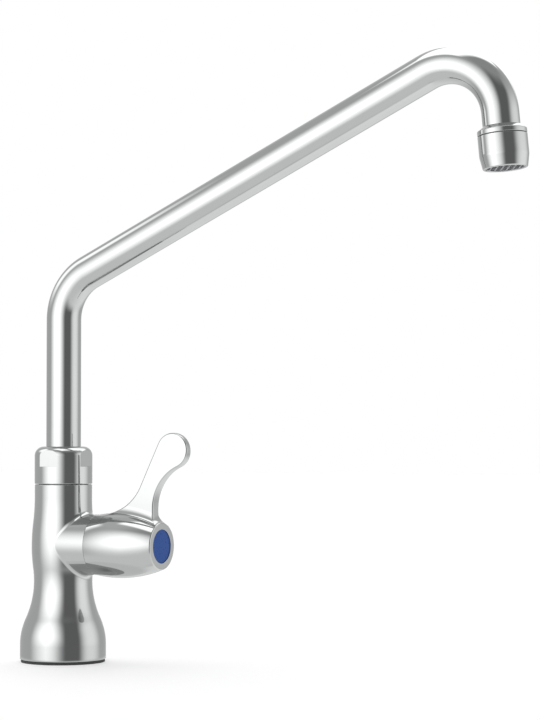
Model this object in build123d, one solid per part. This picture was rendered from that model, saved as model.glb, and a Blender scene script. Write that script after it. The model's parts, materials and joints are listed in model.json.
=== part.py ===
from build123d import *
import os
from math import asin, atan, atan2, cos, degrees, pi, radians, sin, sqrt, tan

# A swivel tap for one cold feed: a pillar body with a side valve and lever, and a bent spout.
# Millimetres. The origin is on the pillar's axis at the deck's surface, +Z is up, and +X is the
# way that both the side valve and the spout point.

# Fits
RUNNING_GAP = 0.06        # radial gap of a part that turns in a bore
FACE_GAP = 0.05           # gap between flat faces that slide on each other
THREAD_GAP = 0.05         # radial gap of a screwed joint, whose threads are drawn plain
FIT_GAP = 0.05            # gap of a part that is seated and stays still
LOOSE_GAP = 0.3           # gap of moving parts that never touch
PAST = 1.0                # how far a cut runs past the face that it opens
PIPE_THREAD_RADIUS = 20.955 / 2

# Base gasket and pillar body
GASKET_THICKNESS = 1.5
GASKET_INSET = 0.5
GASKET_BORE_GAP = 1.0
RIM_RADIUS = 22.3
RIM_HEIGHT = 7.5
RIM_EDGE = 0.8
WAIST_RADIUS = 15.15
WAIST_HEIGHT = 42.2
BULGE_WALL = 0.8          # the pillar swells this far past the boss's radius
BULGE_DROP = 1.0          # and is widest this far under the valve's axis
COLLAR_STEP = 0.1         # the collar is this much slimmer than the nut on it
COLLAR_HEIGHT = 7.0
SEAM_HEIGHT = 92.0
SEAM_EDGE = 0.4
FLARE_SHARE = 0.41        # share of each flank that its lower arc takes
WAIST_SHARE = 0.35
SHOULDER_SHARE = 0.5
CREASE_FILLET = 3.0

# Waterways in the body
INLET_BORE = 4.0
INLET_OFFSET = 6.0
OUTLET_BORE = 4.0
OUTLET_OFFSET = 7.0
SEAT_PLACE = 0.5
COLLECTING_DEPTH = 1.1
CHAMBER_WALL = 5.4

# Shank and deck fixings
SHANK_GRIP = 15.0         # screwed length inside the body
SHANK_LENGTH = 60.0       # length under the deck's surface
SHANK_BORE = 6.5
SHANK_CHAMFER = 1.0
TAIL_LENGTH = 13.0        # free threaded end for the supply nut
TAIL_GROOVE = 1.5
TAIL_GROOVE_DEPTH = 0.9
DECK_THICKNESS = 20.0     # deck drawn clamped
DECK_WASHER_RADIUS = 21.0
DECK_WASHER_THICKNESS = 3.0
CLAMP_WASHER_RADIUS = 20.0
CLAMP_WASHER_THICKNESS = 2.0
BACK_NUT_FLATS = 27.0
BACK_NUT_HEIGHT = 8.0
BACK_NUT_EDGE = 1.6

# Side valve, from its seat outwards
VALVE_HEIGHT = 61.0
BOSS_REACH = 22.2
CARTRIDGE_WALL = 1.7
SEAL_LENGTH = 2.9
SEAL_INSET = 0.5
SEAL_BORE = 4.2
HOUSING_SEAT_GAP = 1.0
DISC_THICKNESS = 3.0
DRIVER_RADIUS = 7.0
DRIVER_LENGTH = 2.5
DRIVER_KEY_WIDTH = 3.0
DRIVER_KEY_DEPTH = 1.1
PORT_INNER_RADIUS = 2.4
PORT_OUTER_RADIUS = 6.8
PORT_ANGLE = 76.0
THRUST_WASHER_THICKNESS = 0.6
WINDOW_WIDTH = 9.0
CARTRIDGE_FLATS = 22.0
CARTRIDGE_HEX_LENGTH = 4.7
CARTRIDGE_HEX_EDGE = 0.8
CARTRIDGE_RING = 0.9      # section radius of the ring under the hexagon
NECK_WALL = 3.0
NECK_LENGTH = 9.0
STEM_RADIUS = 5.0
SPINDLE_RING_DEPTH = 1.4
SPINDLE_RING_WIDTH = 2.0
SPINDLE_RING_PLACES = (6.0, 11.0)
CIRCLIP_THICKNESS = 1.0
CIRCLIP_REACH = 1.6
CIRCLIP_DEPTH = 0.65
CIRCLIP_OPENING = 5.0
SQUARE_FLATS = 7.0
SQUARE_GRIP = 9.0
SCREW_RADIUS = 2.5
SCREW_LENGTH = 12.0
SCREW_HEAD_RADIUS = 4.25
SCREW_HEAD_HEIGHT = 5.0
SCREW_KEY_FLATS = 4.0
SCREW_KEY_DEPTH = 2.6

# Handle
HUB_RADIUS = 16.7
HUB_SWELL = 12.2          # the barrel is widest this far from its inner end
HUB_CURVATURE = 70.8
HUB_EDGE = 0.5
HUB_CAVITY_GAP = 0.5
WEB_GAP = 0.9
WEB_FLOOR = 2.5
SCREW_WELL_GAP = 0.95
SCREW_COVER = 3.9
INDEX_RADIUS = 8.6
INDEX_THICKNESS = 1.6
INDEX_RECESS = 0.3
INDEX_EDGE = 0.3
LOBE_RISE = 48.7          # lobe's centre over the valve's axis
LOBE_AHEAD = 10.6         # and ahead of the lever's front edge
LOBE_RADIUS = 9.0
LEVER_LEAN = 25.0
FRONT_SETBACK = 3.8
FRONT_RISE = 19.0
SWEEP_RADIUS = 25.3
SWEEP_LEAD = 3.0
ROOT_SINK = 0.1
ROOT_FILLET = 6.0
TOE_FILLET = 4.5          # sweep of the lever's front edge into the hub's end
BLADE_ROOT_THICKNESS = 6.2
BLADE_TIP_THICKNESS = 3.9
BLADE_EDGE = 0.8

# Coupling nut and the spout's seat, each wall measured outwards from the spout tube
TUBE_RADIUS = 9.0
TUBE_WALL = 1.0
FOOT_WALL = 2.2
SPIGOT_WALL = 1.64
SPIGOT_HEIGHT = 8.5
SPIGOT_CHAMFER = 0.5
NUT_WALL = 2.05
NUT_HEIGHT = 19.4
NUT_FLAT_DEPTH = 1.0
FLATS_START = 9.0         # flats start this far above the nut's foot
NUT_TOP_EDGE = 0.15
NUT_LAND = 0.05
FOOT_END_GAP = 1.0
FOOT_LIP = 1.0
FOOT_COLLAR_HEIGHT = 2.25
FOOT_RING_DEPTH = 1.45
FOOT_RING_WIDTH = 2.2
FOOT_RING_SHARES = (0.25, 0.54)  # places of the rings up the foot's plain length
SLIP_THICKNESS = 0.6
BUSH_WALL = 0.9
BUSH_RECESS = 0.5

# Spout
BEND_RADIUS = 27.0
FIRST_CORNER = 194.9      # height where the riser's and the incline's axes cross
INCLINE_ANGLE = 24.9
INCLINE_LENGTH = 268.5
LEG_TILT = 5.5
LEG_LENGTH = 48.9         # from the second corner to the aerator's seam

# End fitting and aerator, placed along the leg's axis from the seam
FITTING_RING = 2.2
FITTING_CONE = 2.0
FITTING_NECK = 0.3
NIPPLE_WALL = 1.9
NIPPLE_LENGTH = 7.0
TUBE_SOCKET = 3.0
HOUSING_WALL = 0.9
HOUSING_LENGTH = 16.1
HOUSING_SEAM = 0.25
HOUSING_TAPER = 6.2
HOUSING_DRAW = 1.15
HOUSING_LIP = 1.3
LIP_OVERLAP = 0.65
AERATOR_WASHER_THICKNESS = 1.5
INSERT_STEP = 0.95
INSERT_WALL = 1.0
DIFFUSER_THICKNESS = 1.6
DIFFUSER_HOLE = 0.6
DIFFUSER_PITCH = 2.4
SCREEN_COUNT = 2
SCREEN_THICKNESS = 0.25
SCREEN_HOLE = 0.42
SCREEN_PITCH = 1.6
GRID_RECESS = 0.35
GRID_RIM = 0.5
GRID_TURN = 30
CELL_RADIUS = 1.6
CELL_WALL = 0.5

# Radii of the spout's seat
tube_bore = TUBE_RADIUS - TUBE_WALL
foot_radius = TUBE_RADIUS + FOOT_WALL
chamber_radius = foot_radius + RUNNING_GAP
spigot_radius = chamber_radius + SPIGOT_WALL
foot_collar_radius = spigot_radius - SPIGOT_CHAMFER
nut_radius = spigot_radius + THREAD_GAP + NUT_WALL
collar_radius = nut_radius - COLLAR_STEP
bush_bore = TUBE_RADIUS + RUNNING_GAP
bush_radius = bush_bore + BUSH_WALL
bush_hole_radius = bush_radius + FIT_GAP
nut_shoulder = nut_radius - bush_hole_radius - NUT_TOP_EDGE - NUT_LAND

# Radii of the side valve
cavity_radius = PIPE_THREAD_RADIUS + THREAD_GAP
ring_well_radius = cavity_radius + 2 * CARTRIDGE_RING
ring_well_depth = 2 * CARTRIDGE_RING + 2 * FIT_GAP
disc_chamber_radius = PIPE_THREAD_RADIUS - CARTRIDGE_WALL
moving_disc_radius = disc_chamber_radius - LOOSE_GAP
stem_bore = STEM_RADIUS + RUNNING_GAP
neck_radius = stem_bore + NECK_WALL
hub_cavity_radius = CARTRIDGE_FLATS / sqrt(3) + HUB_CAVITY_GAP

# Places along the valve's axis
seal_end = SEAT_PLACE + SEAL_LENGTH
fixed_disc_end = seal_end + DISC_THICKNESS
moving_disc_start = fixed_disc_end + FACE_GAP
moving_disc_end = moving_disc_start + DISC_THICKNESS
driver_start = moving_disc_end + FIT_GAP
driver_end = driver_start + DRIVER_LENGTH
thrust_end = driver_end + FACE_GAP + THRUST_WASHER_THICKNESS
hex_start = BOSS_REACH + FIT_GAP
hex_end = hex_start + CARTRIDGE_HEX_LENGTH
neck_end = hex_end + NECK_LENGTH
circlip_start = neck_end + FACE_GAP
circlip_end = circlip_start + CIRCLIP_THICKNESS
square_start = circlip_end + FIT_GAP
web_start = circlip_end + WEB_GAP
spindle_end = web_start + SQUARE_GRIP
web_end = spindle_end + WEB_FLOOR
screw_start = web_end - SCREW_LENGTH
screw_head_end = web_end + SCREW_HEAD_HEIGHT
index_start = screw_head_end + SCREW_COVER
index_end = index_start + INDEX_THICKNESS
hub_start = BOSS_REACH + LOOSE_GAP
hub_end = index_end + INDEX_RECESS
hub_widest = hub_start + HUB_SWELL

# Heights on the pillar's axis
socket_top = GASKET_THICKNESS + SHANK_GRIP
rim_top = GASKET_THICKNESS + RIM_HEIGHT
bulge_height = VALVE_HEIGHT - BULGE_DROP
collar_start = SEAM_HEIGHT - COLLAR_HEIGHT
chamber_floor = VALVE_HEIGHT + cavity_radius + COLLECTING_DEPTH + CHAMBER_WALL
spigot_top = SEAM_HEIGHT + SPIGOT_HEIGHT
slip_top = spigot_top + SLIP_THICKNESS
foot_low = chamber_floor + FOOT_END_GAP
tube_low = foot_low + FOOT_LIP
foot_collar_low = slip_top + FACE_GAP
foot_collar_top = foot_collar_low + FOOT_COLLAR_HEIGHT
foot_ring_places = [foot_low + share * (foot_collar_low - foot_low) for share in FOOT_RING_SHARES]
bush_low = foot_collar_top + FACE_GAP
nut_shelf = bush_low + SLIP_THICKNESS
nut_low = SEAM_HEIGHT + LOOSE_GAP
nut_high = nut_low + NUT_HEIGHT
deck_washer_low = -DECK_THICKNESS - DECK_WASHER_THICKNESS
clamp_washer_low = deck_washer_low - CLAMP_WASHER_THICKNESS
back_nut_low = clamp_washer_low - BACK_NUT_HEIGHT

# Corners of the spout's axis, as (place along X, height)
corner_1 = (0, FIRST_CORNER)
corner_2 = (
    INCLINE_LENGTH * cos(radians(INCLINE_ANGLE)),
    FIRST_CORNER + INCLINE_LENGTH * sin(radians(INCLINE_ANGLE)),
)
leg_way = (sin(radians(LEG_TILT)), -cos(radians(LEG_TILT)))
seam_point = (corner_2[0] + LEG_LENGTH * leg_way[0], corner_2[1] + LEG_LENGTH * leg_way[1])

# Radii and places of the aerator, along the leg from its seam
nipple_radius = TUBE_RADIUS + NIPPLE_WALL
aerator_radius = nipple_radius + THREAD_GAP + HOUSING_WALL
insert_radius = nipple_radius - INSERT_STEP
insert_bore = insert_radius - INSERT_WALL
lip_radius = insert_radius - LIP_OVERLAP
washer_start = NIPPLE_LENGTH + FIT_GAP
insert_start = washer_start + AERATOR_WASHER_THICKNESS
lip_start = HOUSING_LENGTH - HOUSING_LIP
diffuser_start = insert_start + FIT_GAP
diffuser_end = diffuser_start + DIFFUSER_THICKNESS
screen_step = SCREEN_THICKNESS + FIT_GAP
grid_start = diffuser_end + SCREEN_COUNT * screen_step + FIT_GAP
grid_end = HOUSING_LENGTH - GRID_RECESS

valve_plane = Plane(origin=(0, 0, VALVE_HEIGHT), x_dir=(0, 1, 0), z_dir=(1, 0, 0))
outlet_plane = Plane(
    origin=(seam_point[0], 0, seam_point[1]), x_dir=(0, 1, 0), z_dir=(leg_way[0], 0, leg_way[1])
)


def turned(outline):
    """Solid of revolution about Z from corner points (radius, height)."""
    return revolve(Plane.XZ * make_face(Polyline(*outline, close=True)), Axis.Z)


def joined(lines):
    """Face inside a closed chain of lines and arcs."""
    return make_face(Curve() + lines)


def chain(points):
    """Straight lines from each point to the next."""
    return [Line(a, b) for a, b in zip(points, points[1:])]


def on_circle(centre, radius, angle):
    return (centre[0] + radius * cos(angle), centre[1] + radius * sin(angle))


def tube(outer, inner, low, high):
    """Plain ring about Z."""
    return turned([(inner, low), (outer, low), (outer, high), (inner, high)])


def rod(radius, low, high):
    """Plain cylinder about Z."""
    return Pos(0, 0, (low + high) / 2) * Cylinder(radius, high - low)


def bar(width, depth, low, high):
    """Plain block about Z."""
    return Pos(0, 0, (low + high) / 2) * Box(width, depth, high - low)


def hexagon(flats, low, high):
    """Hexagonal prism about Z, two of its corners on X."""
    return extrude(Pos(0, 0, low) * RegularPolygon(flats / 2, 6, major_radius=False), high - low)


def edged_hexagon(flats, low, high, edge):
    """Hexagonal prism whose corners are turned off at both ends."""
    corner = flats / sqrt(3)
    drop = edge * tan(radians(30))
    envelope = turned([
        (0, low),
        (corner - edge, low),
        (corner, low + drop),
        (corner, high - drop),
        (corner - edge, high),
        (0, high),
    ])
    return hexagon(flats, low, high) & envelope


def ring_in_groove(inner, outer, place):
    """Rubber ring squeezed between two radii about Z."""
    section = (outer - inner) / 2
    return Pos(0, 0, place) * Torus(inner + section, section)


def groove(radius, depth, width, place):
    """Cutter for a groove in the outside of a rod about Z."""
    return tube(2 * radius, radius - depth, place - width / 2, place + width / 2)


def sector(inner, outer, angle, low, high, turn):
    """Ring sector about Z, its middle turned from X."""
    far = 2 * outer
    side = far * tan(radians(angle / 2))
    wedge = make_face(Polyline((0, 0), (far, -side), (far, side), close=True))
    wedge = extrude(Pos(0, 0, low) * wedge, high - low)
    return Rot(0, 0, turn) * (wedge & tube(outer, inner, low, high))


def flank(start, end, share):
    """Two tangent arcs from one upright point of an outline to the next; the first takes share."""
    width = end[0] - start[0]
    height = end[1] - start[1]
    turn = 2 * atan(abs(width) / height)
    reach = height / sin(turn)
    side = degrees(turn) if width < 0 else -degrees(turn)
    first = JernArc(start=start, tangent=(0, 1), radius=share * reach, arc_size=side)
    second = JernArc(start=first @ 1, tangent=first % 1, radius=(1 - share) * reach, arc_size=-side)
    return [first, second]


def hub_radius(place):
    """The barrel hub's outer radius at a place along the valve's axis."""
    return HUB_RADIUS - HUB_CURVATURE + sqrt(HUB_CURVATURE**2 - (place - hub_widest) ** 2)


# The boss is as wide as the hub that meets it
boss_radius = hub_radius(hub_start)
bulge_radius = boss_radius + BULGE_WALL


# Pillar body
def make_tap_body():
    rim = (RIM_RADIUS, rim_top)
    waist = (WAIST_RADIUS, WAIST_HEIGHT)
    bulge = (bulge_radius, bulge_height)
    collar = (collar_radius, collar_start)
    edge_start = (RIM_RADIUS - RIM_EDGE, GASKET_THICKNESS)
    outline = [Line((0, GASKET_THICKNESS), edge_start)]
    outline += [JernArc(start=edge_start, tangent=(1, 0), radius=RIM_EDGE, arc_size=90)]
    outline += [Line((RIM_RADIUS, GASKET_THICKNESS + RIM_EDGE), rim)]
    outline += flank(rim, waist, FLARE_SHARE)
    outline += flank(waist, bulge, WAIST_SHARE)
    outline += flank(bulge, collar, SHOULDER_SHARE)
    outline += chain([
        collar,
        (collar_radius, SEAM_HEIGHT - SEAM_EDGE),
        (collar_radius - SEAM_EDGE, SEAM_HEIGHT),
        (spigot_radius, SEAM_HEIGHT),
        (spigot_radius, spigot_top - SPIGOT_CHAMFER),
        (spigot_radius - SPIGOT_CHAMFER, spigot_top),
        (0, spigot_top),
        (0, GASKET_THICKNESS),
    ])
    pillar = revolve(Rot(0, 0, 180) * (Plane.XZ * joined(outline)), Axis.Z)
    boss = turned([
        (0, 0),
        (boss_radius, 0),
        (boss_radius, BOSS_REACH - SEAM_EDGE),
        (boss_radius - SEAM_EDGE, BOSS_REACH),
        (0, BOSS_REACH),
    ])
    casting = pillar + valve_plane * boss
    return fillet(crease_edges(casting), CREASE_FILLET) - body_waterways()


def crease_edges(casting):
    """The curved seam where the boss leaves the pillar."""
    found = []
    for edge in casting.edges():
        middle = edge.position_at(0.5)
        off_axis = sqrt(middle.Y**2 + (middle.Z - VALVE_HEIGHT) ** 2)
        on_boss = abs(off_axis - boss_radius) < RUNNING_GAP
        inside_reach = SEAM_EDGE < middle.X < BOSS_REACH - 2 * SEAM_EDGE
        if on_boss and inside_reach and edge.geom_type != GeomType.LINE:
            found.append(edge)
    return found


def body_waterways():
    """Everything cut out of the casting."""
    cuts = rod(cavity_radius, GASKET_THICKNESS - PAST, socket_top)
    cuts += Pos(-INLET_OFFSET, 0, 0) * rod(INLET_BORE, socket_top - PAST, VALVE_HEIGHT)
    cuts += Pos(-INLET_OFFSET, 0, VALVE_HEIGHT) * Sphere(INLET_BORE)
    cuts += valve_plane * rod(INLET_BORE, -INLET_OFFSET, SEAT_PLACE + PAST)
    cuts += valve_plane * rod(cavity_radius, SEAT_PLACE, BOSS_REACH + PAST)
    cuts += valve_plane * rod(ring_well_radius, BOSS_REACH - ring_well_depth, BOSS_REACH + PAST)
    cuts += valve_plane * rod(cavity_radius + COLLECTING_DEPTH, moving_disc_start, driver_end)
    cuts += Pos(OUTLET_OFFSET, 0, 0) * rod(OUTLET_BORE, VALVE_HEIGHT, chamber_floor + PAST)
    cuts += rod(chamber_radius, chamber_floor, spigot_top + PAST)
    return cuts


def make_base_gasket():
    return tube(RIM_RADIUS - GASKET_INSET, PIPE_THREAD_RADIUS + GASKET_BORE_GAP, 0, GASKET_THICKNESS)


def make_threaded_shank():
    low = -SHANK_LENGTH
    high = socket_top - FIT_GAP
    shank = turned([
        (SHANK_BORE, low),
        (PIPE_THREAD_RADIUS - SHANK_CHAMFER, low),
        (PIPE_THREAD_RADIUS, low + SHANK_CHAMFER),
        (PIPE_THREAD_RADIUS, high - SHANK_CHAMFER),
        (PIPE_THREAD_RADIUS - SHANK_CHAMFER, high),
        (SHANK_BORE, high),
    ])
    relief = low + TAIL_LENGTH + TAIL_GROOVE / 2
    return shank - groove(PIPE_THREAD_RADIUS, TAIL_GROOVE_DEPTH, TAIL_GROOVE, relief)


# Deck fixings, which move together along the shank
def make_deck_washer():
    inner = PIPE_THREAD_RADIUS + LOOSE_GAP
    return tube(DECK_WASHER_RADIUS, inner, deck_washer_low, -DECK_THICKNESS)


def make_clamp_washer():
    inner = PIPE_THREAD_RADIUS + LOOSE_GAP
    return tube(CLAMP_WASHER_RADIUS, inner, clamp_washer_low, deck_washer_low)


def make_back_nut():
    nut = edged_hexagon(BACK_NUT_FLATS, back_nut_low, clamp_washer_low, BACK_NUT_EDGE)
    return nut - rod(PIPE_THREAD_RADIUS + RUNNING_GAP, back_nut_low - PAST, clamp_washer_low + PAST)


# Valve cartridge
def make_cartridge_housing():
    start = SEAT_PLACE + HOUSING_SEAT_GAP
    housing = rod(PIPE_THREAD_RADIUS, start, hex_start)
    housing += edged_hexagon(CARTRIDGE_FLATS, hex_start, hex_end, CARTRIDGE_HEX_EDGE)
    housing += rod(neck_radius, hex_end, neck_end)
    housing -= rod(disc_chamber_radius, start - PAST, thrust_end + FACE_GAP)
    housing -= rod(stem_bore, start, neck_end + PAST)
    housing -= bar(WINDOW_WIDTH, 3 * PIPE_THREAD_RADIUS, moving_disc_start, driver_end)
    return valve_plane * housing


def make_cartridge_o_ring():
    inner = PIPE_THREAD_RADIUS + FIT_GAP
    outer = ring_well_radius - FIT_GAP
    place = BOSS_REACH - FIT_GAP - (outer - inner) / 2
    return valve_plane * ring_in_groove(inner, outer, place)


def make_cartridge_seat_seal():
    return valve_plane * tube(disc_chamber_radius - SEAL_INSET, SEAL_BORE, SEAT_PLACE, seal_end)


def make_fixed_ceramic_disc():
    disc = rod(disc_chamber_radius - FIT_GAP, seal_end, fixed_disc_end)
    low = seal_end - PAST
    high = fixed_disc_end + PAST
    for turn in (90, 270):
        disc -= sector(PORT_INNER_RADIUS, PORT_OUTER_RADIUS, PORT_ANGLE, low, high, turn)
    return valve_plane * disc


def make_moving_ceramic_disc():
    disc = rod(moving_disc_radius, moving_disc_start, moving_disc_end)
    low = moving_disc_start - PAST
    high = moving_disc_end + PAST
    for turn in (0, 180):
        disc -= sector(PORT_INNER_RADIUS, 2 * moving_disc_radius, PORT_ANGLE, low, high, turn)
    slot_floor = moving_disc_end - DRIVER_KEY_DEPTH - FIT_GAP
    disc -= bar(DRIVER_KEY_WIDTH + 2 * FIT_GAP, 3 * moving_disc_radius, slot_floor, high)
    return valve_plane * disc


def make_thrust_washer():
    low = driver_end + FACE_GAP
    return valve_plane * tube(DRIVER_RADIUS, stem_bore + FIT_GAP, low, thrust_end)


def make_valve_spindle():
    spindle = rod(DRIVER_RADIUS, driver_start, driver_end)
    key_start = driver_start - DRIVER_KEY_DEPTH
    spindle += bar(DRIVER_KEY_WIDTH, 2 * (DRIVER_RADIUS - FIT_GAP), key_start, driver_start + FIT_GAP)
    spindle += rod(STEM_RADIUS, driver_start, square_start)
    spindle += bar(SQUARE_FLATS, SQUARE_FLATS, square_start - FIT_GAP, spindle_end)
    for place in SPINDLE_RING_PLACES:
        spindle -= groove(STEM_RADIUS, SPINDLE_RING_DEPTH, SPINDLE_RING_WIDTH, driver_end + place)
    clip_middle = (circlip_start + circlip_end) / 2
    spindle -= groove(STEM_RADIUS, CIRCLIP_DEPTH, CIRCLIP_THICKNESS + 2 * FIT_GAP, clip_middle)
    spindle -= rod(SCREW_RADIUS + THREAD_GAP, screw_start - PAST, spindle_end + PAST)
    return valve_plane * spindle


def make_spindle_o_rings():
    inner = STEM_RADIUS - SPINDLE_RING_DEPTH
    outer = STEM_RADIUS + RUNNING_GAP / 2
    places = [driver_end + place for place in SPINDLE_RING_PLACES]
    return Compound(children=[valve_plane * ring_in_groove(inner, outer, place) for place in places])


def make_spindle_circlip():
    inner = STEM_RADIUS - CIRCLIP_DEPTH + FIT_GAP
    outer = STEM_RADIUS + CIRCLIP_REACH
    clip = tube(outer, inner, circlip_start, circlip_end)
    opening = bar(CIRCLIP_OPENING, 2 * outer, circlip_start - PAST, circlip_end + PAST)
    return valve_plane * (clip - Pos(0, -outer, 0) * opening)


def make_handle_screw():
    screw = rod(SCREW_RADIUS, screw_start, web_end)
    screw += rod(SCREW_HEAD_RADIUS, web_end, screw_head_end)
    screw -= hexagon(SCREW_KEY_FLATS, screw_head_end - SCREW_KEY_DEPTH, screw_head_end + PAST)
    return valve_plane * screw


# Handle
def make_lever_handle():
    return hub_shell() + blade() + root_flare() - hub_hollows()


def hub_shell():
    start = (hub_radius(hub_start), hub_start)
    widest = (HUB_RADIUS, hub_widest)
    end = (hub_radius(hub_end - HUB_EDGE), hub_end - HUB_EDGE)
    face_edge = (hub_radius(hub_end) - HUB_EDGE, hub_end)
    lines = [ThreePointArc(start, widest, end)]
    lines += chain([end, face_edge, (0, hub_end), (0, hub_start), start])
    return valve_plane * revolve(Plane.XZ * joined(lines), Axis.Z)


def hub_hollows():
    """Cavity over the cartridge, square socket, screw hole, screw well and index recess."""
    socket_side = SQUARE_FLATS + 2 * FIT_GAP
    hollows = rod(hub_cavity_radius, hub_start - PAST, web_start)
    hollows += bar(socket_side, socket_side, web_start - PAST, spindle_end + FIT_GAP)
    hollows += rod(SCREW_RADIUS + FIT_GAP, spindle_end, web_end + PAST)
    hollows += rod(SCREW_HEAD_RADIUS + SCREW_WELL_GAP, web_end, index_start + PAST)
    hollows += rod(INDEX_RADIUS + FIT_GAP, index_start, hub_end + PAST)
    return valve_plane * hollows


# Side view of the lever: a front edge and a leaning back edge, both swept into the hub, and a
# round lobe at the tip
lean = radians(LEVER_LEAN)
lever_front = hub_end - FRONT_SETBACK
front_foot = (lever_front, VALVE_HEIGHT + FRONT_RISE)
lobe_centre = (lever_front + LOBE_AHEAD, VALVE_HEIGHT + LOBE_RISE)
lobe_above = lobe_centre[1] - front_foot[1]
front_radius = (LOBE_AHEAD**2 + lobe_above**2 - LOBE_RADIUS**2) / (2 * (LOBE_RADIUS + LOBE_AHEAD))
front_centre = (front_foot[0] + front_radius, front_foot[1])
lobe_tangent = on_circle(lobe_centre, LOBE_RADIUS, pi - lean)
sweep_low = VALVE_HEIGHT + hub_radius(hub_start + SWEEP_LEAD) - ROOT_SINK
sweep_rise = lobe_tangent[1] - sweep_low - SWEEP_RADIUS
sweep_place = lobe_tangent[0] - (SWEEP_RADIUS + sweep_rise * sin(lean)) / cos(lean)
sweep_centre = (sweep_place, sweep_low + SWEEP_RADIUS)
half_root = BLADE_ROOT_THICKNESS / 2
half_tip = BLADE_TIP_THICKNESS / 2
blade_floor = VALVE_HEIGHT + INDEX_RADIUS

# The lever's toe: an arc tangent to its front edge and to the hub, as (radius, place along the
# valve's axis)
toe_place = lever_front + TOE_FILLET
toe_reach = HUB_CURVATURE - ROOT_SINK + TOE_FILLET
toe_centre = (HUB_RADIUS - HUB_CURVATURE + sqrt(toe_reach**2 - (toe_place - hub_widest) ** 2), toe_place)
toe_angle = atan2(hub_widest - toe_place, HUB_RADIUS - HUB_CURVATURE - toe_centre[0])


def lever_outline(floor):
    """Side view of the lever, down to a floor inside the hub."""
    share = LOBE_RADIUS / (LOBE_RADIUS + front_radius)
    meet = tuple(a + (b - a) * share for a, b in zip(lobe_centre, front_centre))
    meet_angle = atan2(meet[1] - front_centre[1], meet[0] - front_centre[0])
    sweep_start = (sweep_place, sweep_low)
    sweep_end = on_circle(sweep_centre, SWEEP_RADIUS, -lean)
    lines = [
        ThreePointArc(sweep_start, on_circle(sweep_centre, SWEEP_RADIUS, -(lean + pi / 2) / 2), sweep_end),
        Line(sweep_end, lobe_tangent),
        ThreePointArc(lobe_tangent, on_circle(lobe_centre, LOBE_RADIUS, pi / 4), meet),
        ThreePointArc(meet, on_circle(front_centre, front_radius, (meet_angle + pi) / 2), front_foot),
    ]
    lines += chain([front_foot, (lever_front, floor), (sweep_place, floor), sweep_start])
    return joined(lines)


def blade():
    """Flat lever, thinner towards its tip, with rounded edges."""
    low = VALVE_HEIGHT + HUB_RADIUS
    high = lobe_centre[1] + LOBE_RADIUS + PAST
    bottom = blade_floor - PAST
    slab = extrude(Plane.XZ * lever_outline(blade_floor), amount=half_root, both=True)
    section = make_face(Polyline(
        (-half_root, bottom),
        (half_root, bottom),
        (half_root, low),
        (half_tip, high),
        (-half_tip, high),
        (-half_root, low),
        close=True,
    ))
    slab = slab & extrude(Plane.YZ * section, amount=2 * lobe_centre[0])
    return fillet(blade_rims(slab, low), BLADE_EDGE)


def blade_rims(slab, bend):
    """Edges of the lever's outline on both faces, without the bend line where the taper starts."""
    rims = []
    for edge in slab.edges():
        middle = edge.position_at(0.5)
        run = edge.position_at(1) - edge.position_at(0)
        on_face = abs(middle.Y) > half_tip / 2 and abs(run.Y) < half_tip
        on_bend = abs(middle.Z - bend) < FIT_GAP and abs(run.Z) < FIT_GAP
        in_hub = middle.Z < blade_floor + FIT_GAP or middle.X < sweep_place + FIT_GAP
        if on_face and not on_bend and not in_hub:
            rims.append(edge)
    return rims


def root_flare():
    """Concave fillet that spreads the lever's root over the barrel hub."""
    count = 5
    start = sweep_place - PAST
    step = (hub_end - start) / (count - 1)
    body = loft([flare_section(start + step * index) for index in range(count)])
    under_lever = extrude(Plane.XZ * lever_outline(VALVE_HEIGHT), amount=HUB_RADIUS, both=True)
    return (body & under_lever) + (body & toe_ring())


def toe_ring():
    """Concave ring in front of the lever, as wide as the barrel, that shapes the flare's front."""
    start = (toe_centre[0], lever_front)
    middle = on_circle(toe_centre, TOE_FILLET, (toe_angle - pi / 2) / 2)
    end = on_circle(toe_centre, TOE_FILLET, toe_angle)
    lines = [ThreePointArc(start, middle, end)]
    lines += chain([
        end,
        (INDEX_RADIUS, end[1]),
        (INDEX_RADIUS, lever_front - PAST),
        (toe_centre[0], lever_front - PAST),
        start,
    ])
    return valve_plane * revolve(Plane.XZ * joined(lines), Axis.Z)


def flare_section(place):
    """Cross-section of the flare: the blade's width above, tangent to the hub's circle below."""
    skin = hub_radius(place) - ROOT_SINK
    off = half_root + ROOT_FILLET
    top = sqrt((skin + ROOT_FILLET) ** 2 - off**2)
    share = skin / (skin + ROOT_FILLET)
    foot = (off * share, top * share)
    angle = (3 * pi + atan2(foot[1] - top, foot[0] - off)) / 2
    middle = on_circle((off, top), ROOT_FILLET, angle)
    lines = [
        ThreePointArc((half_root, top), middle, foot),
        Line(foot, (-foot[0], foot[1])),
        ThreePointArc((-foot[0], foot[1]), (-middle[0], middle[1]), (-half_root, top)),
        Line((-half_root, top), (half_root, top)),
    ]
    section_plane = Plane(origin=(place, 0, VALVE_HEIGHT), x_dir=(0, 1, 0), z_dir=(1, 0, 0))
    return section_plane * joined(lines)


def make_index_disc():
    return valve_plane * turned([
        (0, index_start),
        (INDEX_RADIUS, index_start),
        (INDEX_RADIUS, index_end - INDEX_EDGE),
        (INDEX_RADIUS - INDEX_EDGE, index_end),
        (0, index_end),
    ])


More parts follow.
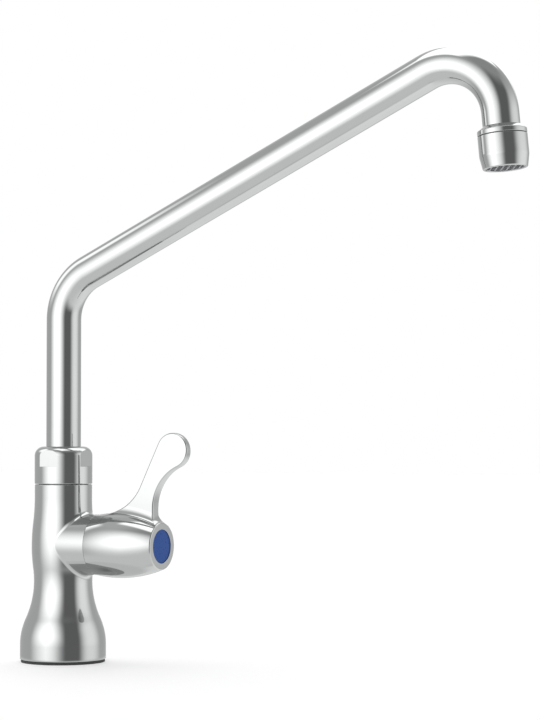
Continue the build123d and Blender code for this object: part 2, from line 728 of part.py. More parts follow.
# Coupling nut and the spout's seat
def make_spout_nut():
    shoulder_start = (nut_radius, nut_high - nut_shoulder)
    lines = [JernArc(start=shoulder_start, tangent=(0, 1), radius=nut_shoulder, arc_size=90)]
    lines += chain([
        (nut_radius - nut_shoulder, nut_high),
        (bush_hole_radius + NUT_TOP_EDGE, nut_high),
        (bush_hole_radius, nut_high - NUT_TOP_EDGE),
        (bush_hole_radius, nut_shelf),
        (spigot_radius + THREAD_GAP, nut_shelf),
        (spigot_radius + THREAD_GAP, nut_low),
        (nut_radius - SEAM_EDGE, nut_low),
        (nut_radius, nut_low + SEAM_EDGE),
        shoulder_start,
    ])
    nut = revolve(Plane.XZ * joined(lines), Axis.Z)
    flat = bar(nut_radius, 2 * nut_radius, nut_low + FLATS_START, nut_high + PAST)
    flat = Pos(1.5 * nut_radius - NUT_FLAT_DEPTH, 0, 0) * flat
    for turn in range(0, 360, 90):
        nut -= Rot(0, 0, turn) * flat
    return nut


def make_spout_guide_bush():
    flange = spigot_radius - FIT_GAP
    return turned([
        (bush_bore, bush_low),
        (flange, bush_low),
        (flange, nut_shelf - FIT_GAP),
        (bush_radius, nut_shelf - FIT_GAP),
        (bush_radius, nut_high - BUSH_RECESS),
        (bush_bore, nut_high - BUSH_RECESS),
    ])


def make_slip_ring():
    return tube(foot_collar_radius, chamber_radius + FIT_GAP, spigot_top, slip_top)


def make_spout_foot():
    inner = TUBE_RADIUS + FIT_GAP / 2
    foot = turned([
        (tube_bore, foot_low),
        (foot_radius, foot_low),
        (foot_radius, foot_collar_low),
        (foot_collar_radius, foot_collar_low),
        (foot_collar_radius, foot_collar_top),
        (inner, foot_collar_top),
        (inner, tube_low - FIT_GAP),
        (tube_bore, tube_low - FIT_GAP),
    ])
    for place in foot_ring_places:
        foot -= groove(foot_radius, FOOT_RING_DEPTH, FOOT_RING_WIDTH, place)
    return foot


def make_spout_o_rings():
    inner = foot_radius - FOOT_RING_DEPTH
    outer = foot_radius + RUNNING_GAP / 2
    return Compound(children=[ring_in_groove(inner, outer, place) for place in foot_ring_places])


# Spout
def make_spout_tube():
    end = tuple(seam_point[i] + (TUBE_SOCKET - FIT_GAP) * leg_way[i] for i in (0, 1))
    corners = [(0, tube_low), corner_1, corner_2, end]
    path = FilletPolyline(*[(x, 0, z) for x, z in corners], radius=BEND_RADIUS)
    start = Plane(origin=(0, 0, tube_low), z_dir=(0, 0, 1))
    return sweep(start * Circle(TUBE_RADIUS), path=path) - sweep(start * Circle(tube_bore), path=path)


def make_end_fitting():
    """Nipple on the tube's end: conical shoulder, ring, and the thread for the aerator."""
    inner = TUBE_RADIUS + FIT_GAP / 2
    top = -FITTING_RING - FITTING_CONE
    return outlet_plane * turned([
        (inner, top),
        (TUBE_RADIUS + FITTING_NECK, top),
        (aerator_radius, -FITTING_RING),
        (aerator_radius, 0),
        (nipple_radius, 0),
        (nipple_radius, NIPPLE_LENGTH),
        (tube_bore, NIPPLE_LENGTH),
        (tube_bore, TUBE_SOCKET),
        (inner, TUBE_SOCKET),
    ])


def make_aerator_housing():
    straight_end = (aerator_radius, HOUSING_LENGTH - HOUSING_TAPER)
    curve_radius = (HOUSING_TAPER**2 + HOUSING_DRAW**2) / (2 * HOUSING_DRAW)
    turn = degrees(asin(HOUSING_TAPER / curve_radius))
    lines = [JernArc(start=straight_end, tangent=(0, 1), radius=curve_radius, arc_size=turn)]
    lines += chain([
        (aerator_radius - HOUSING_DRAW, HOUSING_LENGTH),
        (lip_radius, HOUSING_LENGTH),
        (lip_radius, lip_start),
        (insert_radius + FIT_GAP, lip_start),
        (insert_radius + FIT_GAP, insert_start),
        (nipple_radius + THREAD_GAP, insert_start),
        (nipple_radius + THREAD_GAP, HOUSING_SEAM),
        (aerator_radius, HOUSING_SEAM),
        straight_end,
    ])
    return outlet_plane * revolve(Plane.XZ * joined(lines), Axis.Z)


def make_aerator_washer():
    outer = nipple_radius - FIT_GAP
    return outlet_plane * tube(outer, tube_bore, washer_start, insert_start - FIT_GAP)


def holes_within(limit, pitch, hole):
    """Flat pattern of holes on a triangular grid, all centred inside a circle."""
    reach = int(limit / pitch) + 2
    holes = []
    for row in range(-reach, reach + 1):
        for column in range(-reach, reach + 1):
            x = pitch * (column + row % 2 / 2)
            y = pitch * row * sqrt(3) / 2
            if sqrt(x**2 + y**2) < limit:
                holes.append(Pos(x, y) * hole)
    return holes


def perforated(radius, holes, low, high):
    """Round plate with holes."""
    return extrude(Pos(0, 0, low) * (Circle(radius) - holes), high - low)


def make_aerator_diffuser():
    radius = insert_bore - FIT_GAP
    holes = holes_within(radius - 2 * DIFFUSER_HOLE, DIFFUSER_PITCH, Circle(DIFFUSER_HOLE))
    return outlet_plane * perforated(radius, holes, diffuser_start, diffuser_end)


def make_aerator_screens():
    radius = insert_bore - FIT_GAP
    holes = holes_within(radius - 2 * SCREEN_HOLE, SCREEN_PITCH, Circle(SCREEN_HOLE))
    first = diffuser_end + FIT_GAP
    lows = [first + index * screen_step for index in range(SCREEN_COUNT)]
    screens = [perforated(radius, holes, low, low + SCREEN_THICKNESS) for low in lows]
    return Compound(children=[outlet_plane * screen for screen in screens])


def make_aerator_insert():
    """Sleeve that holds the plate and screens, closed by a honeycomb of flow channels."""
    sleeve = tube(insert_radius, insert_bore, insert_start, lip_start - FIT_GAP)
    radius = lip_radius - 2 * FIT_GAP
    pitch = 2 * CELL_RADIUS * cos(radians(30)) + CELL_WALL
    cells = holes_within(radius, pitch, RegularPolygon(CELL_RADIUS, 6, rotation=30))
    channels = (Sketch() + cells) & Circle(radius - GRID_RIM)
    grid = Rot(0, 0, GRID_TURN) * perforated(radius, channels, grid_start, grid_end)
    return outlet_plane * (sleeve + grid)


PIECES = {
    "tap_body": make_tap_body,
    "base_gasket": make_base_gasket,
    "threaded_shank": make_threaded_shank,
    "deck_washer": make_deck_washer,
    "clamp_washer": make_clamp_washer,
    "back_nut": make_back_nut,
    "cartridge_housing": make_cartridge_housing,
    "cartridge_o_ring": make_cartridge_o_ring,
    "cartridge_seat_seal": make_cartridge_seat_seal,
    "fixed_ceramic_disc": make_fixed_ceramic_disc,
    "moving_ceramic_disc": make_moving_ceramic_disc,
    "thrust_washer": make_thrust_washer,
    "valve_spindle": make_valve_spindle,
    "spindle_o_rings": make_spindle_o_rings,
    "spindle_circlip": make_spindle_circlip,
    "handle_screw": make_handle_screw,
    "lever_handle": make_lever_handle,
    "index_disc": make_index_disc,
    "spout_nut": make_spout_nut,
    "spout_guide_bush": make_spout_guide_bush,
    "slip_ring": make_slip_ring,
    "spout_foot": make_spout_foot,
    "spout_o_rings": make_spout_o_rings,
    "spout_tube": make_spout_tube,
    "end_fitting": make_end_fitting,
    "aerator_housing": make_aerator_housing,
    "aerator_washer": make_aerator_washer,
    "aerator_diffuser": make_aerator_diffuser,
    "aerator_screens": make_aerator_screens,
    "aerator_insert": make_aerator_insert,
}

os.makedirs("parts", exist_ok=True)
for name, make in PIECES.items():
    export_step(make(), f"parts/{name}.step")
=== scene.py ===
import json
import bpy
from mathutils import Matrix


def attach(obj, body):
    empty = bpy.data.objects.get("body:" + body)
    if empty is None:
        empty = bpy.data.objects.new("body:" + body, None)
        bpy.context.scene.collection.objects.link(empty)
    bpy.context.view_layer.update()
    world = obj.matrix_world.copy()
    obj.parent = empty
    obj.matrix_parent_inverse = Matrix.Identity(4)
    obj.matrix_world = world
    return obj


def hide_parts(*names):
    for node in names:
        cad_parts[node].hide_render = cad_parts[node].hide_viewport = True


bl_info = {
    "name": "Swivel Tap",
    "version": (1, 0, 0),
    "blender": (4, 5, 0),
    "location": "View3D > Sidebar > Swivel Tap",
    "description": "Dresses the packed swivel tap: pillar, side lever, spout, aerator and deck fixings",
    "category": "Object",
}

from math import acos, asin, atan, atan2, ceil, cos, hypot, pi, radians, sin, sqrt, tan

import bpy
import numpy as np
from bpy.props import FloatProperty, FloatVectorProperty, PointerProperty
from mathutils import Euler

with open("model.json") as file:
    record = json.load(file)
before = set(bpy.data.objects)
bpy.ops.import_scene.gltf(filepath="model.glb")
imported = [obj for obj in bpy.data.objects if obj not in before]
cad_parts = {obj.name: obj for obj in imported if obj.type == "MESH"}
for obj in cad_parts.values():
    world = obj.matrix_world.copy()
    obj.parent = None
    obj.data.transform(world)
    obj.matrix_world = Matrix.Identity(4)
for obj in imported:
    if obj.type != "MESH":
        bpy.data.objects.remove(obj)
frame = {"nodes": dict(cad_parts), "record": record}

MM = 0.001
WELD = 1e-4 * MM                # corners nearer than a tenth of a micron are one point
WELD_SHIFT = 0.318              # keeps round sizes off the borders of the weld's cells
CLEAR = 0.05 * MM               # left open between pieces that fit into each other
JOINT_EDGE = 0.06 * MM          # broken edges on both sides of the joint between boss and hub
FULL_TURN = 2 * pi
UP = np.array([0, 0, 1.0])
ACROSS = np.array([0, 1.0, 0])


def length(name, description, default, least=0.0):
    """A size in metres for the sidebar, given in millimetres."""
    return FloatProperty(
        name=name, description=description, default=default * MM, min=least, unit="LENGTH", precision=5
    )


def angle(name, description, default):
    """An angle for the sidebar, given in degrees."""
    return FloatProperty(name=name, description=description, default=radians(default), subtype="ANGLE")


def colour(name, description, default):
    return FloatVectorProperty(
        name=name, description=description, default=default, min=0.0, max=1.0, size=3, subtype="COLOR"
    )


def share(name, description, default):
    return FloatProperty(name=name, description=description, default=default, min=0.0, max=1.0)


# Sizes and finishes that a user would change

class PillarSizes(bpy.types.PropertyGroup):
    gasket_thickness: length("Gasket thickness", "Thickness of the base gasket", 1.5)
    gasket_radius: length("Gasket radius", "Outer radius of the base gasket", 21.8)
    gasket_bore: length("Gasket bore", "Inner radius of the base gasket", 11.48)
    rim_radius: length("Rim radius", "Radius of the base flange", 22.3)
    rim_top: length("Rim top", "Height where the flange's upright rim ends", 9.0)
    rim_edge: length("Rim edge", "Rounding under the flange", 0.4)
    waist_radius: length("Waist radius", "Slimmest radius of the pillar", 15.15)
    waist_height: length("Waist height", "Height of the waist", 42.2)
    bulge_wall: length("Bulge wall", "How far the pillar swells past the boss", 0.8)
    bulge_height: length("Bulge height", "Height of the widest place", 60.0)
    collar_radius: length("Collar radius", "Radius under the seam", 14.9)
    collar_start: length("Collar start", "Height where the collar turns upright", 85.0)
    seam_height: length("Seam height", "Height of the seam under the coupling nut", 92.0)
    seam_edge: length("Seam edge", "Rounding of the edges at the seam", 0.4)
    spigot_radius: length("Spigot radius", "Radius of the spigot inside the nut", 12.9)
    spigot_top: length("Spigot top", "Height of the spigot", 100.5)
    chamber_radius: length("Chamber radius", "Bore for the spout's foot", 11.26)
    chamber_floor: length("Chamber floor", "Height of that bore's floor", 78.03)
    socket_radius: length("Socket radius", "Bore for shank and cartridge", 10.5275)
    socket_top: length("Socket top", "Height of the shank's socket", 16.5)
    flare_share: share("Flare share", "Share of the foot's sweep in its lower arc", 0.41)
    waist_share: share("Waist share", "Share of the neck's sweep in its lower arc", 0.35)
    shoulder_share: share("Shoulder share", "Share of the shoulder's sweep in its lower arc", 0.5)
    boss_reach: length("Boss reach", "Where the boss ends along the valve's axis", 22.2)
    crease_fillet: length("Crease fillet", "Fillet between boss and pillar", 3.0)
    well_radius: length("Ring well radius", "Well for the cartridge's sealing ring", 12.3275)
    well_depth: length("Ring well depth", "Depth of that well", 1.9)
    seat_place: length("Valve seat", "Where the valve's bore ends", 0.5)


class HandleSizes(bpy.types.PropertyGroup):
    valve_height: length("Valve height", "Height of the valve's axis", 61.0)
    hub_start: length("Hub start", "Where the barrel starts along the valve's axis", 22.3)
    hub_end: length("Hub end", "Where it ends", 60.2)
    hub_radius: length("Hub radius", "Widest radius of the barrel", 16.7)
    hub_widest: length("Widest place", "Where the barrel is widest", 34.7)
    hub_curvature: length("Barrel curvature", "Radius of the barrel's side", 70.8)
    hub_edge: length("Hub edge", "Rounding of the barrel's front edge", 0.5)
    cavity_radius: length("Cavity radius", "Hollow over the cartridge", 13.2)
    web_start: length("Web start", "Where that hollow ends", 37.9)
    socket_end: length("Socket end", "Where the spindle's socket ends", 46.95)
    web_end: length("Web end", "Seat of the screw's head", 49.4)
    index_place: length("Index seat", "Seat of the index disc", 58.3)
    index_radius: length("Index radius", "Radius of the index disc", 8.6)
    index_thickness: length("Index thickness", "Thickness of the index disc", 1.6)
    index_crown: length("Index crown", "Rise of the disc's middle", 0.15)
    lobe_place: length("Lobe place", "Lobe's centre along the valve's axis", 67.0)
    lobe_rise: length("Lobe rise", "Lobe's centre over the valve's axis", 48.7)
    lobe_radius: length("Lobe radius", "Radius of the lever's tip", 9.0)
    lever_lean: angle("Lever lean", "Lean of the lever's back edge", 25.0)
    lever_front: length("Lever front", "Lever's front edge along the valve's axis", 56.4)
    front_rise: length("Front rise", "Height where the front edge starts to sweep out", 19.0)
    sweep_radius: length("Back sweep", "Radius of the back edge's sweep", 25.3)
    toe_radius: length("Toe sweep", "Radius of the front edge's sweep into the hub", 4.5)
    root_fillet: length("Root fillet", "Fillet between lever and barrel", 6.0)
    root_thickness: length("Root thickness", "Lever's thickness at its root", 6.2)
    tip_thickness: length("Tip thickness", "Lever's thickness at its tip", 3.9)
    blade_edge: length("Lever edge", "Rounding of the lever's edges", 0.8)


class SpoutSizes(bpy.types.PropertyGroup):
    nut_radius: length("Nut radius", "Outer radius of the coupling nut", 15.0)
    nut_low: length("Nut foot", "Height of the nut's foot", 92.3)
    nut_high: length("Nut top", "Height of the nut's top", 111.7)
    nut_shoulder: length("Nut shoulder", "Rounding of the nut's top", 4.79)
    nut_edge: length("Nut edge", "Rounding of the nut's foot", 0.4)
    nut_land: length("Nut land", "Rounding around the nut's hole", 0.15)
    nut_bore: length("Nut bore", "Bore over the spigot", 12.95)
    nut_shelf: length("Nut shelf", "Height of the shelf inside the nut", 103.9)
    flats_start: length("Flats start", "Height where the nut's flats start", 101.3)
    flats_depth: length("Flat depth", "How deep the four flats are cut", 1.0)
    bush_radius: length("Bush radius", "Outer radius of the guide bush", 9.96)
    bush_bore: length("Bush bore", "Inner radius of the guide bush", 9.06)
    bush_flange: length("Bush flange", "Radius of the bush's flange", 12.85)
    bush_low: length("Bush foot", "Height of the bush's foot", 103.45)
    bush_high: length("Bush top", "Height of the bush's top", 111.2)
    tube_radius: length("Tube radius", "Outer radius of the spout tube", 9.0)
    tube_wall: length("Tube wall", "Wall of the spout tube", 1.0)
    tube_low: length("Tube foot", "Height where the tube starts", 80.03)
    bend_radius: length("Bend radius", "Radius of both bends", 27.0)
    first_corner: length("First corner", "Height of the first bend's corner", 194.9)
    incline: angle("Incline", "Rise of the long run", 24.9)
    incline_length: length("Incline length", "Length of the long run", 268.5)
    leg_tilt: angle("Leg tilt", "Tilt of the short leg", 5.5)
    leg_length: length("Leg length", "From the second corner to the aerator's seam", 48.9)


class AeratorSizes(bpy.types.PropertyGroup):
    radius: length("Housing radius", "Outer radius of the aerator's housing", 11.85)
    ring: length("Fitting ring", "Height of the end fitting's ring", 2.2)
    cone: length("Fitting cone", "Height of its cone", 2.0)
    neck: length("Fitting neck", "How far the cone's top stands off the tube", 0.3)
    nipple_radius: length("Nipple radius", "Radius of the nipple inside the housing", 10.9)
    nipple_length: length("Nipple length", "Length of that nipple", 7.0)
    tube_socket: length("Tube socket", "How far the tube enters the fitting", 3.0)
    seam: length("Seam", "Gap between fitting and housing", 0.25)
    housing: length("Housing length", "From the seam to the outlet", 16.1)
    taper: length("Taper length", "Length over which the housing draws in", 6.2)
    draw: length("Draw", "How far the housing draws in", 1.15)
    lip_radius: length("Lip radius", "Radius of the outlet", 9.3)
    lip_start: length("Lip start", "Inner face of the lip", 14.8)
    insert_radius: length("Insert radius", "Outer radius of the insert", 9.95)
    insert_start: length("Insert start", "Where the insert starts", 8.55)
    taper_edge: length("Taper edge", "Rounding where the housing starts to draw in", 8.0)
    lip_edge: length("Lip edge", "Rounding of the outlet's rim", 0.6)


class FixingSizes(bpy.types.PropertyGroup):
    thread_radius: length("Thread radius", "Major radius of the shank's thread", 10.4775)
    thread_pitch: length("Thread pitch", "Pitch of the shank's thread", 1.814)
    thread_depth: length("Thread depth", "Depth of the shank's thread", 0.95)
    shank_bore: length("Shank bore", "Radius of the shank's bore", 6.5)
    shank_low: length("Shank foot", "Height of the shank's lower end", -60.0, least=-0.2)
    shank_high: length("Shank top", "Height of the shank's upper end", 16.45)
    deck: length("Deck thickness", "Thickness of the deck drawn clamped", 20.0)
    deck_washer_radius: length("Deck washer radius", "Radius of the rubber washer", 21.0)
    deck_washer_thickness: length("Deck washer thickness", "Its thickness", 3.0)
    clamp_washer_radius: length("Clamp washer radius", "Radius of the steel washer", 20.0)
    clamp_washer_thickness: length("Clamp washer thickness", "Its thickness", 2.0)
    washer_bore: length("Washer bore", "Bore of both washers", 10.7775)


class Finishes(bpy.types.PropertyGroup):
    chrome: colour("Chrome", "Tint of the chrome plating", (0.655, 0.67, 0.667))
    chrome_roughness: share("Chrome roughness", "Softness of the chrome's reflections", 0.05)
    brass: colour("Brass", "Colour of the machined brass", (0.80, 0.62, 0.32))
    steel: colour("Zinc-plated steel", "Colour of the clamp washer", (0.66, 0.67, 0.68))
    stainless: colour("Stainless steel", "Colour of screens and screw", (0.72, 0.72, 0.71))
    rubber: colour("Rubber", "Colour of gasket and seals", (0.06, 0.06, 0.063))
    ceramic: colour("Ceramic", "Colour of the valve's discs", (0.92, 0.91, 0.88))
    white_plastic: colour("White plastic", "Colour of bush and slip rings", (0.85, 0.85, 0.83))
    grey_plastic: colour("Grey plastic", "Colour of the aerator's insert", (0.42, 0.43, 0.45))
    index_blue: colour("Index blue", "Colour of the index disc", (0.020, 0.090, 0.37))


class StudioSettings(bpy.types.PropertyGroup):
    camera_place: FloatVectorProperty(
        name="Camera", description="Where the camera stands", size=3, subtype="TRANSLATION",
        default=(0.6863, -1.0236, 0.1156), unit="LENGTH",
    )
    camera_turn: angle("Camera turn", "Turn of the view about the upright", 28.831)
    camera_pitch: angle("Camera pitch", "How far the view looks up", 1.923)
    lens: FloatProperty(name="Lens", description="Focal length for a 36 mm sensor", default=117.635)
    floor: length("Floor size", "Side of the pale floor", 12000.0)


GROUPS = {
    "tap_pillar": PillarSizes,
    "tap_handle": HandleSizes,
    "tap_spout": SpoutSizes,
    "tap_aerator": AeratorSizes,
    "tap_fixings": FixingSizes,
    "tap_finishes": Finishes,
    "tap_studio": StudioSettings,
}


# Surfaces from grids of points with exact normals

class Axis:
    """Places what is drawn about an axis; rows are the ways of angle 0, a right angle and the axis."""

    def __init__(self, origin, side, up, way):
        self.origin = np.array(origin)
        self.rows = np.array([side, up, way])

    def points(self, local):
        return local @ self.rows + self.origin

    def turned(self, local):
        return local @ self.rows


UPRIGHT = Axis((0, 0, 0), (1, 0, 0), (0, 1, 0), (0, 0, 1))


def corners_of(grid):
    """The four corners of every cell of a grid."""
    cells = np.stack([grid[:-1, :-1], grid[1:, :-1], grid[1:, 1:], grid[:-1, 1:]], axis=2)
    return cells.reshape(-1, 4, 3)


class Skin:
    """Grids of points with their normals, welded into one closed mesh."""

    def __init__(self):
        self.cells = []
        self.normals = []

    def grid(self, points, normals):
        self.cells.append(corners_of(points))
        self.normals.append(corners_of(normals))

    def flat(self, points, normal):
        self.grid(points, np.broadcast_to(normal, points.shape))

    def rows(self, rows, axis=UPRIGHT):
        """Adds rows of points, each with its normal, placed about an axis."""
        pairs = np.array(rows)
        self.grid(axis.points(pairs[:, :, 0]), axis.turned(pairs[:, :, 1]))

    def mesh(self, name):
        cells = np.concatenate(self.cells)
        normals = np.concatenate(self.normals)
        flat = cells.reshape(-1, 3)
        keys = np.floor(flat / WELD + WELD_SHIFT).astype(np.int64)
        _, first, inverse = np.unique(keys, axis=0, return_index=True, return_inverse=True)
        inverse = inverse.reshape(-1, 4)
        sides = np.cross(cells[:, 2] - cells[:, 0], cells[:, 3] - cells[:, 1])
        turned_in = (sides * normals.sum(axis=1)).sum(axis=1) < 0
        faces = []
        face_normals = []
        for indices, cell_normals, flip in zip(inverse.tolist(), normals, turned_in):
            kept = [k for k in range(4) if indices[k] not in indices[:k]]
            if len(kept) < 3:
                continue
            if flip:
                kept.reverse()
            faces.append([indices[k] for k in kept])
            face_normals += [cell_normals[k] for k in kept]
        mesh = bpy.data.meshes.new(name)
        mesh.from_pydata(flat[first].tolist(), [], faces)
        edges = {}
        for face in faces:
            for a, b in zip(face, face[1:] + face[:1]):
                edges[(a, b)] = edges.get((a, b), 0) + 1
        open_edges = [e for e, n in edges.items() if n != 1 or edges.get((e[1], e[0]), 0) != 1]
        if open_edges:
            where = flat[first][open_edges[0][0]] / MM
            raise RuntimeError(f"{name}: {len(open_edges)} open or doubled edges, first near {where}")
        mesh.shade_smooth()
        mesh.normals_split_custom_set(np.array(face_normals))
        return mesh


def unit(vectors):
    return vectors / np.linalg.norm(vectors, axis=-1, keepdims=True)


def angle_of(cosine):
    """Angle of a cosine that rounding may have carried past one."""
    return acos(max(-1.0, min(1.0, float(cosine))))


def halved(low, high, falls_short):
    """The place between two where a test stops being true, found by halving."""
    for _ in range(60):
        middle = (low + high) / 2
        if falls_short(middle):
            low = middle
        else:
            high = middle
    return (low + high) / 2


def slerp(start, end, steps):
    """Unit vectors turning evenly from start to end, one more than steps of them."""
    turn = angle_of(start @ end)
    if turn < 1e-6:
        return np.repeat([start], steps + 1, axis=0)
    parts = np.linspace(0, 1, steps + 1)
    mixed = [sin((1 - t) * turn) * start + sin(t * turn) * end for t in parts]
    return unit(np.array(mixed))


def line(a, b, parts=1):
    """Straight run of an outline from a to b, its solid on the left."""
    way = np.array([b[0] - a[0], b[1] - a[1]])
    way = way / np.linalg.norm(way)
    t = np.linspace(0, 1, parts + 1)[:, None]
    points = np.array(a[:2]) + t * (np.array(b[:2]) - np.array(a[:2]))
    return np.hstack([points, np.repeat([[way[1], -way[0]]], parts + 1, axis=0)])


def arc(centre, radius, start, end, steps, hollow=False):
    """Round run of an outline between two angles; a hollow one bends into the solid."""
    angles = np.linspace(start, end, steps + 1)
    way = np.stack([np.cos(angles), np.sin(angles)], axis=1)
    return np.hstack([np.array(centre) + radius * way, -way if hollow else way])


def rounded(corners, closed=True):
    """Runs through corners of (radius, height, rounding), the solid on their left."""
    count = len(corners)
    ends = []
    arcs = []
    for index, corner in enumerate(corners):
        here = np.array(corner[:2])
        rounding = corner[2] if len(corner) > 2 else 0
        if rounding == 0 or (not closed and index in (0, count - 1)):
            ends.append((here, here))
            arcs.append(None)
            continue
        before = unit(here - np.array(corners[index - 1][:2]))
        after = unit(np.array(corners[(index + 1) % count][:2]) - here)
        turn = atan2(before[0] * after[1] - before[1] * after[0], float(before @ after))
        reach = rounding * tan(abs(turn) / 2)
        side = 1 if turn > 0 else -1
        start = here - reach * before
        centre = start + side * rounding * np.array([-before[1], before[0]])
        first = atan2(*(start - centre)[::-1])
        steps = max(2, ceil(abs(turn) / radians(15)))
        arcs.append(arc(centre, rounding, first, first + turn, steps, hollow=side < 0))
        ends.append((start, here + reach * after))
    runs = []
    for index in range(count):
        if arcs[index] is not None:
            runs.append(arcs[index])
        if closed or index < count - 1:
            a, b = ends[index][1], ends[(index + 1) % count][0]
            if np.linalg.norm(b - a) > WELD:
                runs.append(line(a, b))
    return runs


def around(count):
    """Angles of a full turn, the first one again at the end."""
    return np.linspace(0, FULL_TURN, count + 1)


def ring_grid(run, columns):
    """Points and normals of an outline's run, turned to angles that may change with its corners."""
    angles = np.array([columns(corner) if callable(columns) else columns for corner in run])
    radius, height, out, up = [run[:, k, None] for k in range(4)]
    c, s = np.cos(angles), np.sin(angles)
    zeros = np.zeros_like(c)
    points = np.stack([radius * c, radius * s, height + zeros], axis=2)
    return points, np.stack([out * c, out * s, up + zeros], axis=2)


def lathe(skin, runs, columns, axis=UPRIGHT):
    """Turns an outline's runs about an axis."""
    for run in runs:
        points, normals = ring_grid(run, columns)
        skin.grid(axis.points(points), axis.turned(normals))


def flat_ring(inner, outer, low, high, edge):
    """Outline of a flat ring with rounded edges."""
    return [(inner, low, edge), (outer, low, edge), (outer, high, edge), (inner, high, edge)]


def piece(mesh, body, node, slot):
    """Makes a finished piece of a mesh, with its finish, its body and the node it stands for."""
    mesh.materials.clear()
    mesh.materials.append(finish_of(slot))
    made = bpy.data.objects.new(mesh.name, mesh)
    bpy.context.scene.collection.objects.link(made)
    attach(made, body)
    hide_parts(node)


def turned_piece(name, corners, body, node, slot, axis=UPRIGHT, columns=96):
    """A piece that is one rounded outline turned about an axis."""
    skin = Skin()
    lathe(skin, rounded(corners), around(columns), axis)
    piece(skin.mesh(name), body, node, slot)


# Node trees

def feed(tree, node, inputs):
    """Sets a node's inputs by name or number, or links them where a socket is given."""
    for key, value in inputs.items():
        if isinstance(value, bpy.types.NodeSocket):
            tree.links.new(value, node.inputs[key])
        else:
            node.inputs[key].default_value = value


def add_node(tree, kind, inputs=None, **settings):
    """Adds a node to a tree, with its settings and what feeds its inputs."""
    node = tree.nodes.new(kind)
    for name, value in settings.items():
        setattr(node, name, value)
    feed(tree, node, inputs or {})
    return node


def add_sockets(tree, way, shape, *names):
    """Adds named sockets to a node group, on its way in or out."""
    for name in names:
        tree.interface.new_socket(name, in_out=way, socket_type="NodeSocket" + shape)


def maths_of(tree):
    """A function that adds math nodes to a tree: maths("ADD", a, b) gives their result's socket."""

    def maths(operation, *values):
        return add_node(tree, "ShaderNodeMath", dict(enumerate(values)), operation=operation).outputs[0]

    return maths


def rescaled(tree, value, start, end, low=0.0, high=1.0, way="LINEAR"):
    """Brings a value from between two bounds to between two others."""
    inputs = {"Value": value, "From Min": start, "From Max": end, "To Min": low, "To Max": high}
    return add_node(tree, "ShaderNodeMapRange", inputs, interpolation_type=way).outputs["Result"]


def smooth_step(tree, value, start, end):
    """Smooth rise from 0 to 1 of a value between two bounds."""
    return rescaled(tree, value, start, end, way="SMOOTHSTEP")


def shader(name):
    """A new material with its node tree and surface shader."""
    material = bpy.data.materials.new(name)
    material.use_nodes = True
    tree = material.node_tree
    return material, tree, tree.nodes["Principled BSDF"]


# Materials

METAL = {"Metallic": 1.0}
# Each slot's material, colour, roughness, relief (strength, depth in mm), scale of its wear, darkest
# and lightest share of its colour, and what else its surface is given. The chrome's roughness
# is in shares of the one that the user sets.
SURFACES = {
    "chrome": ("polished_chrome", "chrome", (0.7, 1.4), (0.02, 0.1), 60.0, (0.985, 1.01), METAL),
    "brass": ("machined_brass", "brass", (0.2, 0.36), (0.12, 0.2), 220.0, (0.86, 1.05), METAL),
    "zinc_steel": ("zinc_plated_steel", "steel", (0.28, 0.5), (0.1, 0.2), 500.0, (0.85, 1.1), METAL),
    "stainless": ("stainless_steel", "stainless", (0.2, 0.38), (0.1, 0.1), 800.0, (0.92, 1.05), METAL),
    "rubber": (
        "moulded_rubber", "rubber", (0.55, 0.8), (0.25, 0.1), 900.0, (0.75, 1.4),
        {"Specular IOR Level": 0.35},
    ),
    "ceramic": ("lapped_ceramic", "ceramic", (0.08, 0.18), (0.03, 0.1), 1500.0, (0.96, 1.0), {}),
    "white_polymer": (
        "white_moulded_plastic", "white_plastic", (0.35, 0.5), (0.08, 0.1), 700.0, (0.95, 1.0),
        {"Subsurface Weight": 0.05, "Subsurface Scale": 0.001},
    ),
    "grey_polymer": (
        "grey_moulded_plastic", "grey_plastic", (0.32, 0.5), (0.08, 0.1), 700.0, (0.9, 1.1), {},
    ),
    "index_blue": (
        "blue_index_lacquer", "index_blue", (0.26, 0.34), (0.02, 0.05), 900.0, (0.96, 1.04),
        {"Specular IOR Level": 0.25},
    ),
}
WEAR_BAND = (0.3, 0.7)          # most of the noise lies between these
WEAR_DETAIL = {"chrome": 3.0}
PLAIN_DETAIL = 6.0
GRAIN = {"brass": (1, 1, 8)}    # tool marks run round the turned pieces
# Painted shade in joints and cells, by occlusion: reach in mm, openness where it is darkest and where
# it ends
PAINTED_JOINT_SHADE = {"chrome": (1.2, 0.1, 0.5), "grey_polymer": (3.0, 0.6, 0.88)}
JOINT_SAMPLES = 6
# colour of the painted shade in joints and cells
PAINTED_SHADE_COLOUR = (0.02, 0.02, 0.02, 1)
FINISH = {}


def wear(tree, surface, slot, scale, roughness, relief):
    """Varies a surface's roughness and relief with noise read in the object's own place."""
    place = add_node(tree, "ShaderNodeTexCoord").outputs["Object"]
    mapping = {"Vector": place, "Scale": GRAIN.get(slot, (1, 1, 1))}
    place = add_node(tree, "ShaderNodeMapping", mapping).outputs["Vector"]
    grain = {"Vector": place, "Scale": scale, "Detail": WEAR_DETAIL.get(slot, PLAIN_DETAIL)}
    noise = add_node(tree, "ShaderNodeTexNoise", grain).outputs["Fac"]
    strength, depth = relief
    bump = {"Height": noise, "Strength": strength, "Distance": depth * MM}
    feed(tree, surface, {
        "Roughness": rescaled(tree, noise, *WEAR_BAND, *roughness),
        "Normal": add_node(tree, "ShaderNodeBump", bump).outputs["Normal"],
    })
    return noise


def shades(tree, noise, tint, factors):
    """A colour that varies with noise between two shares of it."""
    ramp = add_node(tree, "ShaderNodeValToRGB", {"Fac": noise})
    for stop, place, factor in zip(ramp.color_ramp.elements, WEAR_BAND, factors):
        stop.position = place
        stop.color = (*[min(1.0, part * factor) for part in tint], 1)
    return ramp.outputs["Color"]


